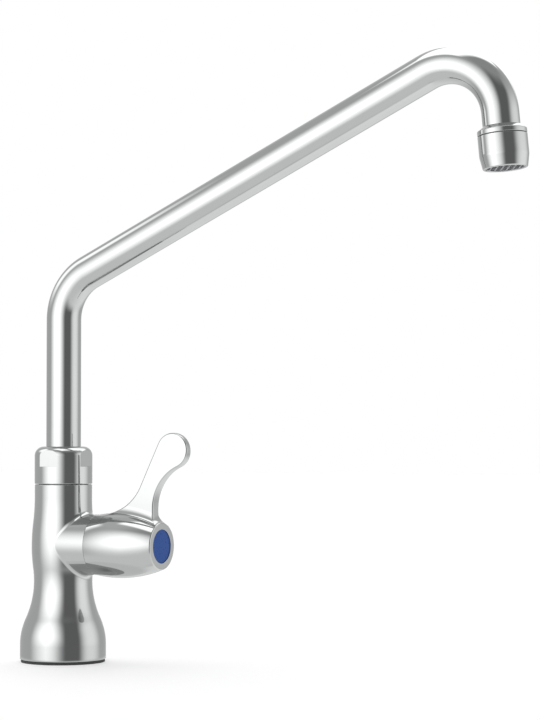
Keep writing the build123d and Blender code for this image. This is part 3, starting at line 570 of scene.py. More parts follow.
def with_painted_shade(tree, tint, reach, dark, light):
    """A colour with painted shade in narrow joints and cells, darkest where they are least open to
    light.
    """
    inputs = {"Distance": reach * MM}
    shelter = add_node(tree, "ShaderNodeAmbientOcclusion", inputs, samples=JOINT_SAMPLES)
    openness = rescaled(tree, shelter.outputs["AO"], dark, light)
    inputs = {"Factor": openness, "A": PAINTED_SHADE_COLOUR, "B": tint}
    return add_node(tree, "ShaderNodeMix", inputs, data_type="RGBA").outputs["Result"]


def finish_of(slot):
    """The material of one of the record's slots, made on first use."""
    if slot not in FINISH:
        finishes = bpy.context.scene.tap_finishes
        name, tint, roughness, relief, scale, factors, given = SURFACES[slot]
        if slot == "chrome":
            roughness = [part * finishes.chrome_roughness for part in roughness]
        material, tree, surface = shader(name)
        feed(tree, surface, given)
        noise = wear(tree, surface, slot, scale, roughness, relief)
        seen = shades(tree, noise, getattr(finishes, tint), factors)
        # painted shade in joints and cells, found by occlusion
        if slot in PAINTED_JOINT_SHADE:
            seen = with_painted_shade(tree, seen, *PAINTED_JOINT_SHADE[slot])
        feed(tree, surface, {"Base Color": seen})
        FINISH[slot] = material
    return FINISH[slot]


# Pillar body

def flank(start, end, part):
    """Two tangent arcs from one upright point of an outline to the next."""
    width = end[0] - start[0]
    height = end[1] - start[1]
    turn = 2 * atan(abs(width) / height)
    reach = height / sin(turn)
    side = 1 if width < 0 else -1
    return start, end, part * reach, (1 - part) * reach, side, turn


class PillarSide:
    """The pillar's side between its rim and its collar: radius and normal at any height."""

    def __init__(self, p, bulge_radius):
        rim = (p.rim_radius, p.rim_top)
        waist = (p.waist_radius, p.waist_height)
        bulge = (bulge_radius, p.bulge_height)
        collar = (p.collar_radius, p.collar_start)
        self.flanks = [
            flank(rim, waist, p.flare_share),
            flank(waist, bulge, p.waist_share),
            flank(bulge, collar, p.shoulder_share),
        ]

    def at(self, height):
        for start, end, first, second, side, turn in self.flanks:
            if height <= end[1]:
                break
        if height > end[1]:
            return end[0], 1.0, 0.0
        if height - start[1] < first * sin(turn):
            lean = asin(max(0.0, (height - start[1]) / first))
            radius = start[0] - side * first * (1 - cos(lean))
        else:
            lean = asin(max(0.0, (end[1] - height) / second))
            radius = end[0] + side * second * (1 - cos(lean))
        return radius, cos(lean), side * sin(lean)

    def run(self, low, high, rows):
        heights = np.linspace(low, high, rows + 1)
        return np.array([(r, z, nr, nz) for z in heights for r, nr, nz in [self.at(z)]])

    def on_offset(self, height, offset):
        """The height on the side whose normal reaches another height at some offset."""
        return halved(height - offset, height + offset, lambda z: z + offset * self.at(z)[2] < height)


def valve_axis(h):
    return Axis((0, 0, h.valve_height), (0, 1, 0), (0, 0, 1), (1, 0, 0))


def barrel_radius(h, x):
    """Radius of the hub's barrel at a place along the valve's axis."""
    return h.hub_radius - h.hub_curvature + sqrt(h.hub_curvature**2 - (x - h.hub_widest) ** 2)


PILLAR_COLUMNS = 144
PILLAR_STEP = FULL_TURN / PILLAR_COLUMNS
PATCH_COLUMNS = 38              # of the patch around the boss, on each side of the valve
PATCH_HEIGHT = 23 * MM          # half the height of that patch
PATCH_ROWS = 24
PATCH_RINGS = 10                # rows from the patch's border to the boss


def pillar_outline(p, side, low, high):
    """Outline of the pillar, but for its side between the patch's lower and upper edge."""
    foot = rounded([
        (p.socket_radius, p.gasket_thickness),
        (p.rim_radius, p.gasket_thickness, p.rim_edge),
        (p.rim_radius, p.rim_top),
    ], closed=False)
    top = rounded([
        (p.collar_radius, p.collar_start),
        (p.collar_radius, p.seam_height, p.seam_edge),
        (p.spigot_radius, p.seam_height),
        (p.spigot_radius, p.spigot_top, p.seam_edge),
        (p.chamber_radius, p.spigot_top),
        (p.chamber_radius, p.chamber_floor),
        (0, p.chamber_floor),
        (0, p.socket_top),
        (p.socket_radius, p.socket_top),
        (p.socket_radius, p.gasket_thickness),
    ], closed=False)
    foot.append(side.run(p.rim_top, low, 20))
    top.append(side.run(high, p.collar_start, 2))
    return foot + top


def patch_border(low, high):
    """Bearings and heights along the border of the patch around the boss, from its lower left."""
    across = np.arange(-PATCH_COLUMNS, PATCH_COLUMNS + 1) * PILLAR_STEP
    heights = np.linspace(low, high, PATCH_ROWS + 1)
    border = [(a, low) for a in across[:-1]]
    border += [(across[-1], z) for z in heights[:-1]]
    border += [(a, high) for a in across[:0:-1]]
    border += [(across[0], z) for z in heights[:0:-1]]
    return [*border, border[0]]


def boss_strip(p, h, side, start, turn):
    """Three rows of points: from the patch's border to the crease, round it, and along the boss."""
    start_bearing, start_z = start
    valve, ball = h.valve_height, p.crease_fillet
    boss_radius = barrel_radius(h, h.hub_start)
    from_boss = np.array([0, cos(turn), sin(turn)])
    centre = (boss_radius + ball) * from_boss + valve * UP
    touch_z = side.on_offset(centre[2], ball)
    radius, out, _ = side.at(touch_z)
    centre[0] = sqrt((radius + ball * out) ** 2 - centre[1] ** 2)
    touch_bearing = atan2(centre[1], centre[0])
    patch = []
    for t in np.linspace(1, 0, PATCH_RINGS + 1):
        a = touch_bearing + (start_bearing - touch_bearing) * t
        z = touch_z + (start_z - touch_z) * t
        r, nr, nz = side.at(z)
        patch.append(((r * cos(a), r * sin(a), z), (nr * cos(a), nr * sin(a), nz)))
    ways = slerp(np.array(patch[-1][1]), from_boss, 8)
    crease = [(centre - ball * way, way) for way in ways]
    xs = np.linspace(centre[0], p.boss_reach - JOINT_EDGE, 7)
    return patch, crease, [(boss_radius * from_boss + (x, 0, valve), from_boss) for x in xs]


def boss_mouth(p, boss_radius):
    """Outline of the boss's open end, with the ring's well and the cartridge's bore inside it."""
    well_floor = p.boss_reach - p.well_depth
    return rounded([
        (boss_radius, p.boss_reach - 2 * JOINT_EDGE),
        (boss_radius, p.boss_reach, JOINT_EDGE),
        (p.well_radius, p.boss_reach),
        (p.well_radius, well_floor),
        (p.socket_radius, well_floor),
        (p.socket_radius, p.seat_place),
        (0, p.seat_place),
    ], closed=False)[1:]


def build_pillar(p, h):
    low, high = h.valve_height - PATCH_HEIGHT, h.valve_height + PATCH_HEIGHT
    boss_radius = barrel_radius(h, h.hub_start)
    side = PillarSide(p, boss_radius + p.bulge_wall)
    skin = Skin()
    lathe(skin, pillar_outline(p, side, low, high), around(PILLAR_COLUMNS))
    behind = np.arange(PATCH_COLUMNS, PILLAR_COLUMNS - PATCH_COLUMNS + 1) * PILLAR_STEP
    lathe(skin, [side.run(low, high, PATCH_ROWS)], behind)
    border = patch_border(low, high)
    turns = [
        atan2((z - h.valve_height) / PATCH_HEIGHT, a / (PATCH_COLUMNS * PILLAR_STEP)) for a, z in border
    ]
    strips = [boss_strip(p, h, side, start, turn) for start, turn in zip(border, turns)]
    for grid in zip(*strips):
        skin.rows(grid)
    lathe(skin, boss_mouth(p, boss_radius), turns, valve_axis(h))
    return skin.mesh("pillar")


# Lever handle: its side view is drawn as (place along the valve's axis, distance from that axis)

THINNING_START = 0.7            # share of the root fillet's height where the lever starts to thin


def straight(start, end, out):
    """A straight part of an outline: its length, and its point and outward normal at a share of it."""
    return float(np.linalg.norm(end - start)), lambda t: (start + t * (end - start), out)


def swept(centre, radius, first, last, side):
    """A round part of an outline between two bearings; side is -1 where it bends into the solid."""

    def at(t):
        turn = first + t * (last - first)
        way = np.array([cos(turn), sin(turn)])
        return centre + radius * way, side * way

    return radius * abs(last - first), at


def bearing(a, b):
    return atan2(b[1] - a[1], b[0] - a[0])


class Lever:
    """Shape of the hub, the lever's outline and the fillet at its root."""

    def __init__(self, h):
        self.h = h
        self.off = h.root_thickness / 2 + h.root_fillet
        hub = np.array([h.hub_widest, h.hub_radius - h.hub_curvature])
        lean = h.lever_lean
        back = np.array([-cos(lean), sin(lean)])
        way = np.array([sin(lean), cos(lean)])
        lobe = np.array([h.lobe_place, h.lobe_rise])
        start = lobe + (h.lobe_radius + h.sweep_radius) * back
        gap = start - hub
        reach = h.hub_curvature + h.sweep_radius
        along = float(gap @ way)
        drop = along - sqrt(along**2 - float(gap @ gap) + reach**2)
        sweep = start - drop * way
        ahead = h.lobe_place - h.lever_front
        above = h.lobe_rise - h.front_rise
        front_radius = (ahead**2 + above**2 - h.lobe_radius**2) / (2 * (h.lobe_radius + ahead))
        front = np.array([h.lever_front + front_radius, h.front_rise])
        toe_x = h.lever_front + h.toe_radius
        toe_reach = h.hub_curvature + h.toe_radius
        toe = np.array([toe_x, hub[1] + sqrt(toe_reach**2 - (toe_x - h.hub_widest) ** 2)])
        front_top = np.array([h.lever_front, h.front_rise])
        front_foot = np.array([h.lever_front, toe[1]])
        self.parts = [
            swept(sweep, h.sweep_radius, bearing(sweep, hub), -lean, -1),
            straight(sweep - h.sweep_radius * back, lobe + h.lobe_radius * back, back),
            swept(lobe, h.lobe_radius, pi - lean, bearing(lobe, front), 1),
            swept(front, front_radius, bearing(front, lobe), pi, -1),
            straight(front_top, front_foot, (1.0, 0.0)),
            swept(toe, h.toe_radius, pi, bearing(toe, hub) % FULL_TURN, -1),
        ]
        self.lengths = [size for size, _ in self.parts]
        self.total = sum(self.lengths)

    def outline(self, distance):
        """Point of the outline and its outward normal at a distance from its back root."""
        for part in self.parts:
            size, at = part
            if distance <= size or part is self.parts[-1]:
                return at(min(1.0, distance / size))
            distance -= size

    def skin_slope(self, x):
        return -(x - self.h.hub_widest) / sqrt(self.h.hub_curvature**2 - (x - self.h.hub_widest) ** 2)

    def barrel(self, xs):
        """Run of the barrel's side through some places along the valve's axis."""
        run = []
        for x in xs:
            slope = self.skin_slope(x)
            size = hypot(1, slope)
            run.append((barrel_radius(self.h, x), x, 1 / size, -slope / size))
        return np.array(run)

    def fillet_place(self, x):
        """How far the root fillet's centre lies from the valve's axis, and over it."""
        reach = barrel_radius(self.h, x) + self.h.root_fillet
        return reach, sqrt(reach**2 - self.off**2)

    def foot_angle(self, x):
        """Half the angle that the lever's root takes on the hub."""
        return asin(self.off / self.fillet_place(x)[0])

    def fillet(self, x, part):
        """Point and normal on the root fillet, from the hub (0) to the lever's face (1)."""
        reach, top = self.fillet_place(x)
        most = atan2(top, self.off)
        turn = pi + most * (1 - part)
        way = np.array([cos(turn), sin(turn)])
        point = np.array([x, self.off + self.h.root_fillet * way[0], top + self.h.root_fillet * way[1]])
        rise = reach * self.skin_slope(x) / top
        normal = np.array([way[1] * rise, -way[0], -way[1]])
        return point, normal / np.linalg.norm(normal)

    def fillet_part(self, x, radius):
        """How far up the root fillet a distance from the valve's axis lies; over 1 is past it."""
        fillet = self.h.root_fillet
        reach, top = self.fillet_place(x)
        c = (reach**2 + fillet**2 - radius**2) / (2 * reach * fillet)
        face_start = hypot(self.h.root_thickness / 2, top)
        if radius >= face_start:
            return 1 + (radius - face_start) / fillet
        return angle_of(c) / atan2(top, self.off)

    def half_thickness(self, z):
        """Half the lever's thickness at a height over the valve's axis, and its slope."""
        start = self.h.hub_radius + THINNING_START * self.h.root_fillet
        reach = self.h.lobe_rise + self.h.lobe_radius - start
        t = (z - start) / reach
        drop = (self.h.root_thickness - self.h.tip_thickness) / 2
        if t <= 0:
            return self.h.root_thickness / 2, 0.0
        return self.h.root_thickness / 2 - drop * t * t * (2 - t), -drop * (4 * t - 3 * t * t) / reach

    def face(self, x, z):
        """Point and normal on the lever's flat face."""
        half, slope = self.half_thickness(z)
        return np.array([x, half, z]), unit(np.array([0.0, 1.0, -slope]))

    def brink(self, distance):
        """Where the lever's side meets its rim: point, side's normal, rim's normal."""
        (x, radius), (out_x, out_r) = self.outline(distance)
        part = self.fillet_part(x, radius)
        if part <= 1:
            point, side = self.fillet(x, part)
        else:
            z = radius
            for _ in range(4):
                z = sqrt(radius**2 - self.half_thickness(z)[0] ** 2)
            point, side = self.face(x, z)
        c, s = point[2] / radius, point[1] / radius
        return point, side, np.array([out_x, out_r * s, out_r * c])

    def rounding(self, distance, steps):
        """Points with normals of the rounded edge from the lever's side to its rim."""
        point, side, rim = self.brink(distance)
        centre = point - self.h.blade_edge * (side + rim) / (1 + float(side @ rim))
        return [(centre + self.h.blade_edge * way, way) for way in slerp(side, rim, steps)]

    def inset_part(self, distance):
        """How far up the root fillet the inner brink of the rounded edge lies."""
        x, y, z = self.rounding(distance, 1)[0][0]
        _, top = self.fillet_place(x)
        turn = atan2(top - z, self.off - y)
        return 1 - turn / atan2(top, self.off)

    def distance_at(self, part, start, end):
        """Distance along the outline where its inner brink crosses a row of the root fillet."""
        return halved(start, end, lambda distance: self.inset_part(distance) < part)


def mirrored(rows):
    return np.array(rows) * (1.0, -1.0, 1.0)


TIP_SIDES = (radians(110), radians(15))     # the lobe's bearings between which the face's columns end
FACE_COLUMNS, FACE_ROWS = 48, 30
EDGE_STEPS, RIM_STEPS = 4, 4                # of each rounded edge, and of the rim between both
BARE_COLUMNS = 84                           # around the hub, from one side of the lever to the other
ROOT_PARTS = np.linspace(0, 1, 11)          # rows of the root fillet, from the hub to the face


def outline_distances(lever):
    """Distances along the outline: the fillet's rows, up the back, over the tip, down the front."""
    h, parts = lever.h, ROOT_PARTS[1:]
    toe_start = lever.total - lever.lengths[-1] - lever.lengths[-2]
    back_root = [0.0] + [lever.distance_at(t, 0, lever.lengths[0]) for t in parts]
    front_root = [lever.total] + [lever.distance_at(t, lever.total, toe_start) for t in parts]
    lobe_start = lever.lengths[0] + lever.lengths[1]
    tip_start, tip_end = [lobe_start + (pi - h.lever_lean - a) * h.lobe_radius for a in TIP_SIDES]
    back_up = np.linspace(back_root[-1], tip_start, FACE_ROWS + 1)
    over_tip = np.linspace(tip_start, tip_end, FACE_COLUMNS + 1)
    front_up = np.linspace(front_root[-1], tip_end, FACE_ROWS + 1)
    return [*back_root, *back_up[1:], *over_tip[1:], *front_up[-2::-1], *front_root[-2::-1]]


def rim_row(edge):
    """A row across the rim: a rounded edge, what lies between, and the other side's edge."""
    last, out = edge[-1]
    radius = hypot(last[1], last[2])
    turn = asin(last[1] / radius)
    out_r = hypot(out[1], out[2]) * (1 if out[2] >= 0 else -1)
    across = [
        ((last[0], radius * sin(a), radius * cos(a)), (out[0], out_r * sin(a), out_r * cos(a)))
        for a in np.linspace(turn, -turn, RIM_STEPS + 1)[1:-1]
    ]
    return [*edge, *across, *mirrored(edge[::-1])]


def root_rows(lever, back, front):
    """Rows of the root fillet on one side, between the inner brinks of its two edges."""
    t = np.linspace(0, 1, FACE_COLUMNS + 1)[1:-1]
    rows = []
    for start, end, part in zip(back, front, ROOT_PARTS):
        xs = start[0][0] + (end[0][0] - start[0][0]) * t
        rows.append([start, *[lever.fillet(x, part) for x in xs], end])
    return rows


def face_rows(lever, foot, tip, back, front):
    """Rows of the flat face on one side, blended from its four borders."""
    low, high, left, right = [np.array(border)[:, 0, [0, 2]] for border in (foot, tip, back, front)]
    rows = [foot]
    for row in range(1, FACE_ROWS):
        s = row / FACE_ROWS
        cells = [back[row]]
        for column in range(1, FACE_COLUMNS):
            c = column / FACE_COLUMNS
            spot = (1 - c) * left[row] + c * right[row] + (1 - s) * low[column] + s * high[column]
            spot -= (1 - c) * (1 - s) * low[0] + c * (1 - s) * low[-1]
            spot -= (1 - c) * s * high[0] + c * s * high[-1]
            cells.append(lever.face(*spot))
        rows.append([*cells, front[row]])
    return [*rows, tip]


def hub_inside(h, face_radius, back_radius):
    """Outline of the hub's face, of its hollows for disc, screw and cartridge, and of its back."""
    recess = h.index_radius + CLEAR
    # Radii around the screw's head, the screw and the spindle
    well, hole, socket = 5.2 * MM, 2.55 * MM, 5.05 * MM
    return rounded([
        (face_radius, h.hub_end),
        (recess, h.hub_end, 0.12 * MM),
        (recess, h.index_place),
        (well, h.index_place),
        (well, h.web_end),
        (hole, h.web_end),
        (hole, h.socket_end),
        (socket, h.socket_end),
        (socket, h.web_start),
        (h.cavity_radius, h.web_start),
        (h.cavity_radius, h.hub_start),
        (back_radius, h.hub_start),
    ], closed=False)


def build_handle(h):
    lever = Lever(h)
    skin = Skin()
    edges = [lever.rounding(distance, EDGE_STEPS) for distance in outline_distances(lever)]
    upright = Axis((0, 0, h.valve_height), (1, 0, 0), (0, 1, 0), (0, 0, 1))
    skin.rows([rim_row(edge) for edge in edges], upright)

    # Sides, between the rounded edges' inner brinks
    brinks = [edge[0] for edge in edges]
    foot = len(ROOT_PARTS) - 1
    top = foot + FACE_ROWS
    back, front = brinks[: top + 1], brinks[top + FACE_COLUMNS:][::-1]
    root = root_rows(lever, back, front)
    tip = brinks[top: top + FACE_COLUMNS + 1]
    for rows in (root, face_rows(lever, root[-1], tip, back[foot:], front[foot:])):
        skin.rows(rows, upright)
        skin.rows(mirrored(rows), upright)

    # Hub: columns follow the foot of the root fillet, so that its outline is a row of corners
    middle = np.linspace(-1, 1, RIM_STEPS + 1)
    spread = np.concatenate([np.full(EDGE_STEPS, -1.0), middle, np.full(EDGE_STEPS, 1.0)])
    bare = np.linspace(0, 1, BARE_COLUMNS + 1)[1:]

    def columns_at(corner):
        half = lever.foot_angle(min(max(corner[1], h.hub_start), h.hub_end))
        return np.concatenate([half * spread, half + (FULL_TURN - 2 * half) * bare])

    foot_xs = [point[0] for point, _ in root[0]]
    behind = lever.barrel(np.linspace(h.hub_start + JOINT_EDGE, foot_xs[0], 5))
    ahead = lever.barrel(np.linspace(foot_xs[-1], h.hub_end - h.hub_edge, 3))
    face_radius = barrel_radius(h, h.hub_end) - h.hub_edge
    back_radius = barrel_radius(h, h.hub_start) - JOINT_EDGE
    nose = bend(ahead[-1], (face_radius, h.hub_end, 0, 1), 5)
    tail = bend((back_radius, h.hub_start, 0, -1), behind[0], 3)
    axis = Axis((0, 0, h.valve_height), (0, 0, 1), (0, 1, 0), (1, 0, 0))
    inside = hub_inside(h, face_radius, back_radius)
    lathe(skin, [behind, ahead, nose, tail] + inside, columns_at, axis)
    lathe(skin, [lever.barrel(foot_xs)], lambda corner: columns_at(corner)[len(spread) - 1:], axis)
    return skin.mesh("lever_and_hub")


def bend(start, end, steps):
    """A smooth edge between two points of an outline with their normals."""
    a, b = np.array(start), np.array(end)
    normals = slerp(a[2:], b[2:], steps)
    chord = b[:2] - a[:2]
    spread = b[2:] - a[2:]
    reach = float(chord @ spread) / float(spread @ spread)
    points = a[:2] + reach * (normals - a[2:])
    ends = b[:2] - points[-1]
    points = points + np.linspace(0, 1, steps + 1)[:, None] * ends
    return np.hstack([points, normals])


# Coupling nut

def build_coupling_nut(s):
    """Round nut with four flats; its columns close in on the flats' edges where these narrow."""
    skin = Skin()
    flat = s.nut_radius - s.flats_depth
    on_flat, between = 8, 14    # columns
    shoulder = (s.nut_radius - s.nut_shoulder, s.nut_high - s.nut_shoulder)
    hole = s.bush_radius + CLEAR
    runs = rounded([
        (s.nut_radius, s.nut_low, s.nut_edge),
        (s.nut_radius, s.nut_high),
        (hole, s.nut_high, s.nut_land),
        (hole, s.nut_shelf),
        (s.nut_bore, s.nut_shelf),
        (s.nut_bore, s.nut_low),
    ])
    quarters = [quarter * pi / 2 for quarter in range(4)]

    def columns_at(corner):
        half = acos(flat / corner[0]) if corner[0] > flat else 0.0
        turns = []
        for middle in quarters:
            turns += list(middle + np.linspace(-half, half, on_flat + 1))
            turns += list(middle + np.linspace(half, pi / 2 - half, between + 1)[1:-1])
        return np.array(turns + [turns[0] + FULL_TURN])

    wide, narrow = columns_at([s.nut_radius]), columns_at([flat])
    plain_side = line((s.nut_radius, s.nut_low + s.nut_edge), (s.nut_radius, s.flats_start))
    lathe(skin, [runs[0], plain_side], wide)
    apex = acos((flat - shoulder[0]) / s.nut_shoulder)
    wall = line((s.nut_radius, s.flats_start), (s.nut_radius, shoulder[1]))
    for run in (wall, arc(shoulder, s.nut_shoulder, 0, apex, 9)):
        points, normals = ring_grid(run, columns_at)
        for quarter, middle in enumerate(quarters):
            first = quarter * (on_flat + between)
            last = first + on_flat
            way = np.array([cos(middle), sin(middle), 0.0])
            face = points[:, first: last + 1]
            face = face + (flat - face @ way)[..., None] * way
            skin.flat(face, way)
            beside = slice(last, last + between + 1)
            skin.grid(points[:, beside], normals[:, beside])
            if run is wall:
                skin.flat(np.array([points[0, first: last + 1], face[0]]), UP)
    rest = [arc(shoulder, s.nut_shoulder, apex, pi / 2, 9)]
    rest.append(line((shoulder[0], s.nut_high), runs[3][0][:2]))
    lathe(skin, rest + runs[3:-1], narrow)
    lathe(skin, runs[-1:], lambda corner: wide if corner[0] > flat else narrow)
    return skin.mesh("coupling_nut")


# Spout tube

def spout_axis(s):
    """Corners of the spout's axis and its end at the aerator's seam, with the ways along both runs."""
    way = np.array([cos(s.incline), 0, sin(s.incline)])
    leg = np.array([sin(s.leg_tilt), 0, -cos(s.leg_tilt)])
    first = s.first_corner * UP
    second = first + s.incline_length * way
    return first, second, second + s.leg_length * leg, way, leg


def outlet_axis(s):
    _, _, seam, _, leg = spout_axis(s)
    return Axis(seam, ACROSS, np.cross(leg, ACROSS), leg)


def build_spout_tube(s, socket):
    first, second, seam, way, leg = spout_axis(s)
    stations = [(s.tube_low * UP, UP)]
    for corner, before, after in ((first, UP, way), (second, way, leg)):
        turn = acos(float(before @ after))
        reach = s.bend_radius * tan(turn / 2)
        inward = unit(after - before * float(after @ before))
        centre = corner - reach * before + s.bend_radius * inward
        for t in np.linspace(0, turn, 29):
            place = centre - s.bend_radius * (inward * cos(t) - before * sin(t))
            stations.append((place, before * cos(t) + inward * sin(t)))
    stations.append((seam + (socket - CLEAR) * leg, leg))
    turns = around(72)[:, None]
    centres = np.array([[place] for place, _ in stations])
    rings = np.array([
        np.cos(turns) * ACROSS + np.sin(turns) * np.cross(ahead, ACROSS) for _, ahead in stations
    ])
    skin = Skin()
    outside = centres + s.tube_radius * rings
    inside = centres + (s.tube_radius - s.tube_wall) * rings
    skin.grid(outside, rings)
    skin.grid(inside, -rings)
    for end, normal in ((0, -UP), (-1, leg)):
        skin.flat(np.array([outside[end], inside[end]]), normal)
    return skin.mesh("spout_pipe")


# Shank thread

FLANK_SLOPE = 1.25              # how steeply the thread's flanks rise, and how softly
FLANK_ROUNDING = 0.1            # they end
SKIN_SHARE = 0.98               # of the crest's radius: what lies further in is bore, and left alone
SHANK_TAIL = 13 * MM            # from the shank's foot to the groove over its free thread
GROOVE_WIDTH = 1.5 * MM
GROOVE_DEPTH = 0.9 * MM
SHANK_CHAMFER = 1 * MM
ROWS_PER_PITCH = 8


def thread_nodes(material):
    """Geometry nodes that cut a screw thread into the outside of a finely divided shank."""
    tree = bpy.data.node_groups.new("Screw thread", "GeometryNodeTree")
    add_sockets(tree, "INPUT", "Geometry", "Shank")
    add_sockets(tree, "INPUT", "Float", "Crest radius", "Pitch", "Depth", "Low", "High")
    add_sockets(tree, "OUTPUT", "Geometry", "Threaded shank")
    given = add_node(tree, "NodeGroupInput").outputs
    maths = maths_of(tree)
    place = add_node(tree, "GeometryNodeInputPosition").outputs[0]
    x, y, z = add_node(tree, "ShaderNodeSeparateXYZ", {0: place}).outputs
    turn = maths("DIVIDE", maths("ARCTAN2", y, x), FULL_TURN)
    phase = maths("SUBTRACT", maths("DIVIDE", z, given["Pitch"]), turn)
    wave = maths("MULTIPLY", maths("PINGPONG", phase, 0.5), 2.0)
    cut = maths("SMOOTH_MIN", maths("MULTIPLY", wave, FLANK_SLOPE), 1.0, FLANK_ROUNDING)
    run_in = maths("DIVIDE", maths("SUBTRACT", z, given["Low"]), given["Pitch"])
    run_out = maths("DIVIDE", maths("SUBTRACT", given["High"], z), given["Pitch"])
    fade = maths("MAXIMUM", maths("MINIMUM", maths("MINIMUM", run_in, run_out), 1.0), 0.0)
    radius = maths("SQRT", maths("ADD", maths("MULTIPLY", x, x), maths("MULTIPLY", y, y)))
    outside = maths("GREATER_THAN", radius, maths("MULTIPLY", given["Crest radius"], SKIN_SHARE))
    for factor in (fade, outside, given["Depth"], -1.0):
        cut = maths("MULTIPLY", cut, factor)
    shrink = maths("DIVIDE", cut, radius)
    offset = add_node(tree, "ShaderNodeCombineXYZ", {
        0: maths("MULTIPLY", x, shrink), 1: maths("MULTIPLY", y, shrink),
    }).outputs[0]
    move = {"Geometry": given["Shank"], "Offset": offset}
    moved = add_node(tree, "GeometryNodeSetPosition", move).outputs[0]
    made = {"Geometry": add_node(tree, "GeometryNodeRealizeInstances", {0: moved}).outputs[0]}
    finish = add_node(tree, "GeometryNodeSetMaterial", {**made, "Material": material})
    add_node(tree, "NodeGroupOutput", {0: finish.outputs[0]})
    return tree


def evaluated(mesh, tree, values):
    """A plain mesh of what a node tree makes of a mesh, its inputs set by name."""
    holder = bpy.data.objects.new("holder", mesh)
    bpy.context.scene.collection.objects.link(holder)
    modifier = holder.modifiers.new("nodes", "NODES")
    modifier.node_group = tree
    for item in tree.interface.items_tree:
        if item.in_out == "INPUT" and item.name in values:
            modifier[item.identifier] = values[item.name]
    result = bpy.data.meshes.new_from_object(
        holder.evaluated_get(bpy.context.evaluated_depsgraph_get())
    )
    holder.modifiers.clear()
    bpy.data.objects.remove(holder)
    return result


def build_shank(f):
    low, high, crest = f.shank_low, f.shank_high, f.thread_radius
    groove = low + SHANK_TAIL
    runs = rounded([
        (f.shank_bore, low),
        (crest - SHANK_CHAMFER, low),
        (crest, low + SHANK_CHAMFER),
        (crest, groove),
        (crest - GROOVE_DEPTH, groove),
        (crest - GROOVE_DEPTH, groove + GROOVE_WIDTH),
        (crest, groove + GROOVE_WIDTH),
        (crest, high - SHANK_CHAMFER),
        (crest - SHANK_CHAMFER, high),
        (f.shank_bore, high),
    ])
    skin = Skin()
    for run in runs:
        if run[0][0] == run[-1][0] == crest:
            a, b = run[0], run[-1]
            run = line(a[:2], b[:2], ceil((b[1] - a[1]) / (f.thread_pitch / ROWS_PER_PITCH)))
        lathe(skin, [run], around(48))
    sizes = {"Crest radius": crest, "Pitch": f.thread_pitch, "Depth": f.thread_depth}
    sizes.update({"Low": low, "High": high})
    mesh = evaluated(skin.mesh("shank_blank"), thread_nodes(finish_of("brass")), sizes)
    mesh.name = "threaded_tail"
    return mesh


# Operators, one for each piece or group of like pieces

class TAP_OT_pillar(bpy.types.Operator):
    """Cast pillar body with its side boss"""

    bl_idname = "tap.pillar"
    bl_label = "Pillar Body"

    def execute(self, context):
        scene = context.scene
        piece(build_pillar(scene.tap_pillar, scene.tap_handle), "tap", "tap_body", "chrome")
        return {"FINISHED"}


class TAP_OT_gasket(bpy.types.Operator):
    """Rubber gasket under the pillar"""

    bl_idname = "tap.gasket"
    bl_label = "Base Gasket"

    def execute(self, context):
        p = context.scene.tap_pillar
        ring = flat_ring(p.gasket_bore, p.gasket_radius, 0, p.gasket_thickness, 0.25 * MM)
        turned_piece("foot_gasket", ring, "tap", "base_gasket", "rubber", columns=128)
        return {"FINISHED"}


class TAP_OT_handle(bpy.types.Operator):
    """Barrel hub with the lever that grows out of it"""

    bl_idname = "tap.handle"
    bl_label = "Lever Handle"

    def execute(self, context):
        piece(build_handle(context.scene.tap_handle), "handle", "lever_handle", "chrome")
        return {"FINISHED"}


class TAP_OT_index(bpy.types.Operator):
    """Blue index disc in the hub's end"""

    bl_idname = "tap.index_disc"
    bl_label = "Index Disc"

    def execute(self, context):
        h = context.scene.tap_handle
        edge, margin = 0.2 * MM, 0.25 * MM
        face = h.index_place + h.index_thickness - h.index_crown
        dome = (h.index_radius**2 + h.index_crown**2) / (2 * h.index_crown)
        turn = asin((h.index_radius - margin) / dome)
        crown = arc((0, face + h.index_crown - dome), dome, pi / 2 - turn, pi / 2, 8)
        brink = tuple(crown[0][:2])
        runs = rounded([
            (0, h.index_place),
            (h.index_radius, h.index_place),
            (h.index_radius, brink[1], edge),
            brink,
        ], closed=False)
        skin = Skin()
        lathe(skin, runs + [crown], around(96), valve_axis(h))
        piece(skin.mesh("index_button"), "handle", "index_disc", "index_blue")
        return {"FINISHED"}


class TAP_OT_nut(bpy.types.Operator):
    """Coupling nut and the white guide bush inside it"""

    bl_idname = "tap.coupling_nut"
    bl_label = "Coupling Nut"

    def execute(self, context):
        s = context.scene.tap_spout
        piece(build_coupling_nut(s), "tap", "spout_nut", "chrome")
        ceiling = s.nut_shelf - CLEAR
        corners = [
            (s.bush_bore, s.bush_low, 0.1 * MM),
            (s.bush_flange, s.bush_low, 0.1 * MM),
            (s.bush_flange, ceiling),
            (s.bush_radius, ceiling),
            (s.bush_radius, s.bush_high, 0.15 * MM),
            (s.bush_bore, s.bush_high, 0.2 * MM),
        ]
        turned_piece("guide_bush", corners, "tap", "spout_guide_bush", "white_polymer")
        return {"FINISHED"}


class TAP_OT_spout(bpy.types.Operator):
    """Bent spout tube"""

    bl_idname = "tap.spout_tube"
    bl_label = "Spout Tube"

    def execute(self, context):
        scene = context.scene
        tube = build_spout_tube(scene.tap_spout, scene.tap_aerator.tube_socket)
        piece(tube, "spout", "spout_tube", "chrome")
        return {"FINISHED"}


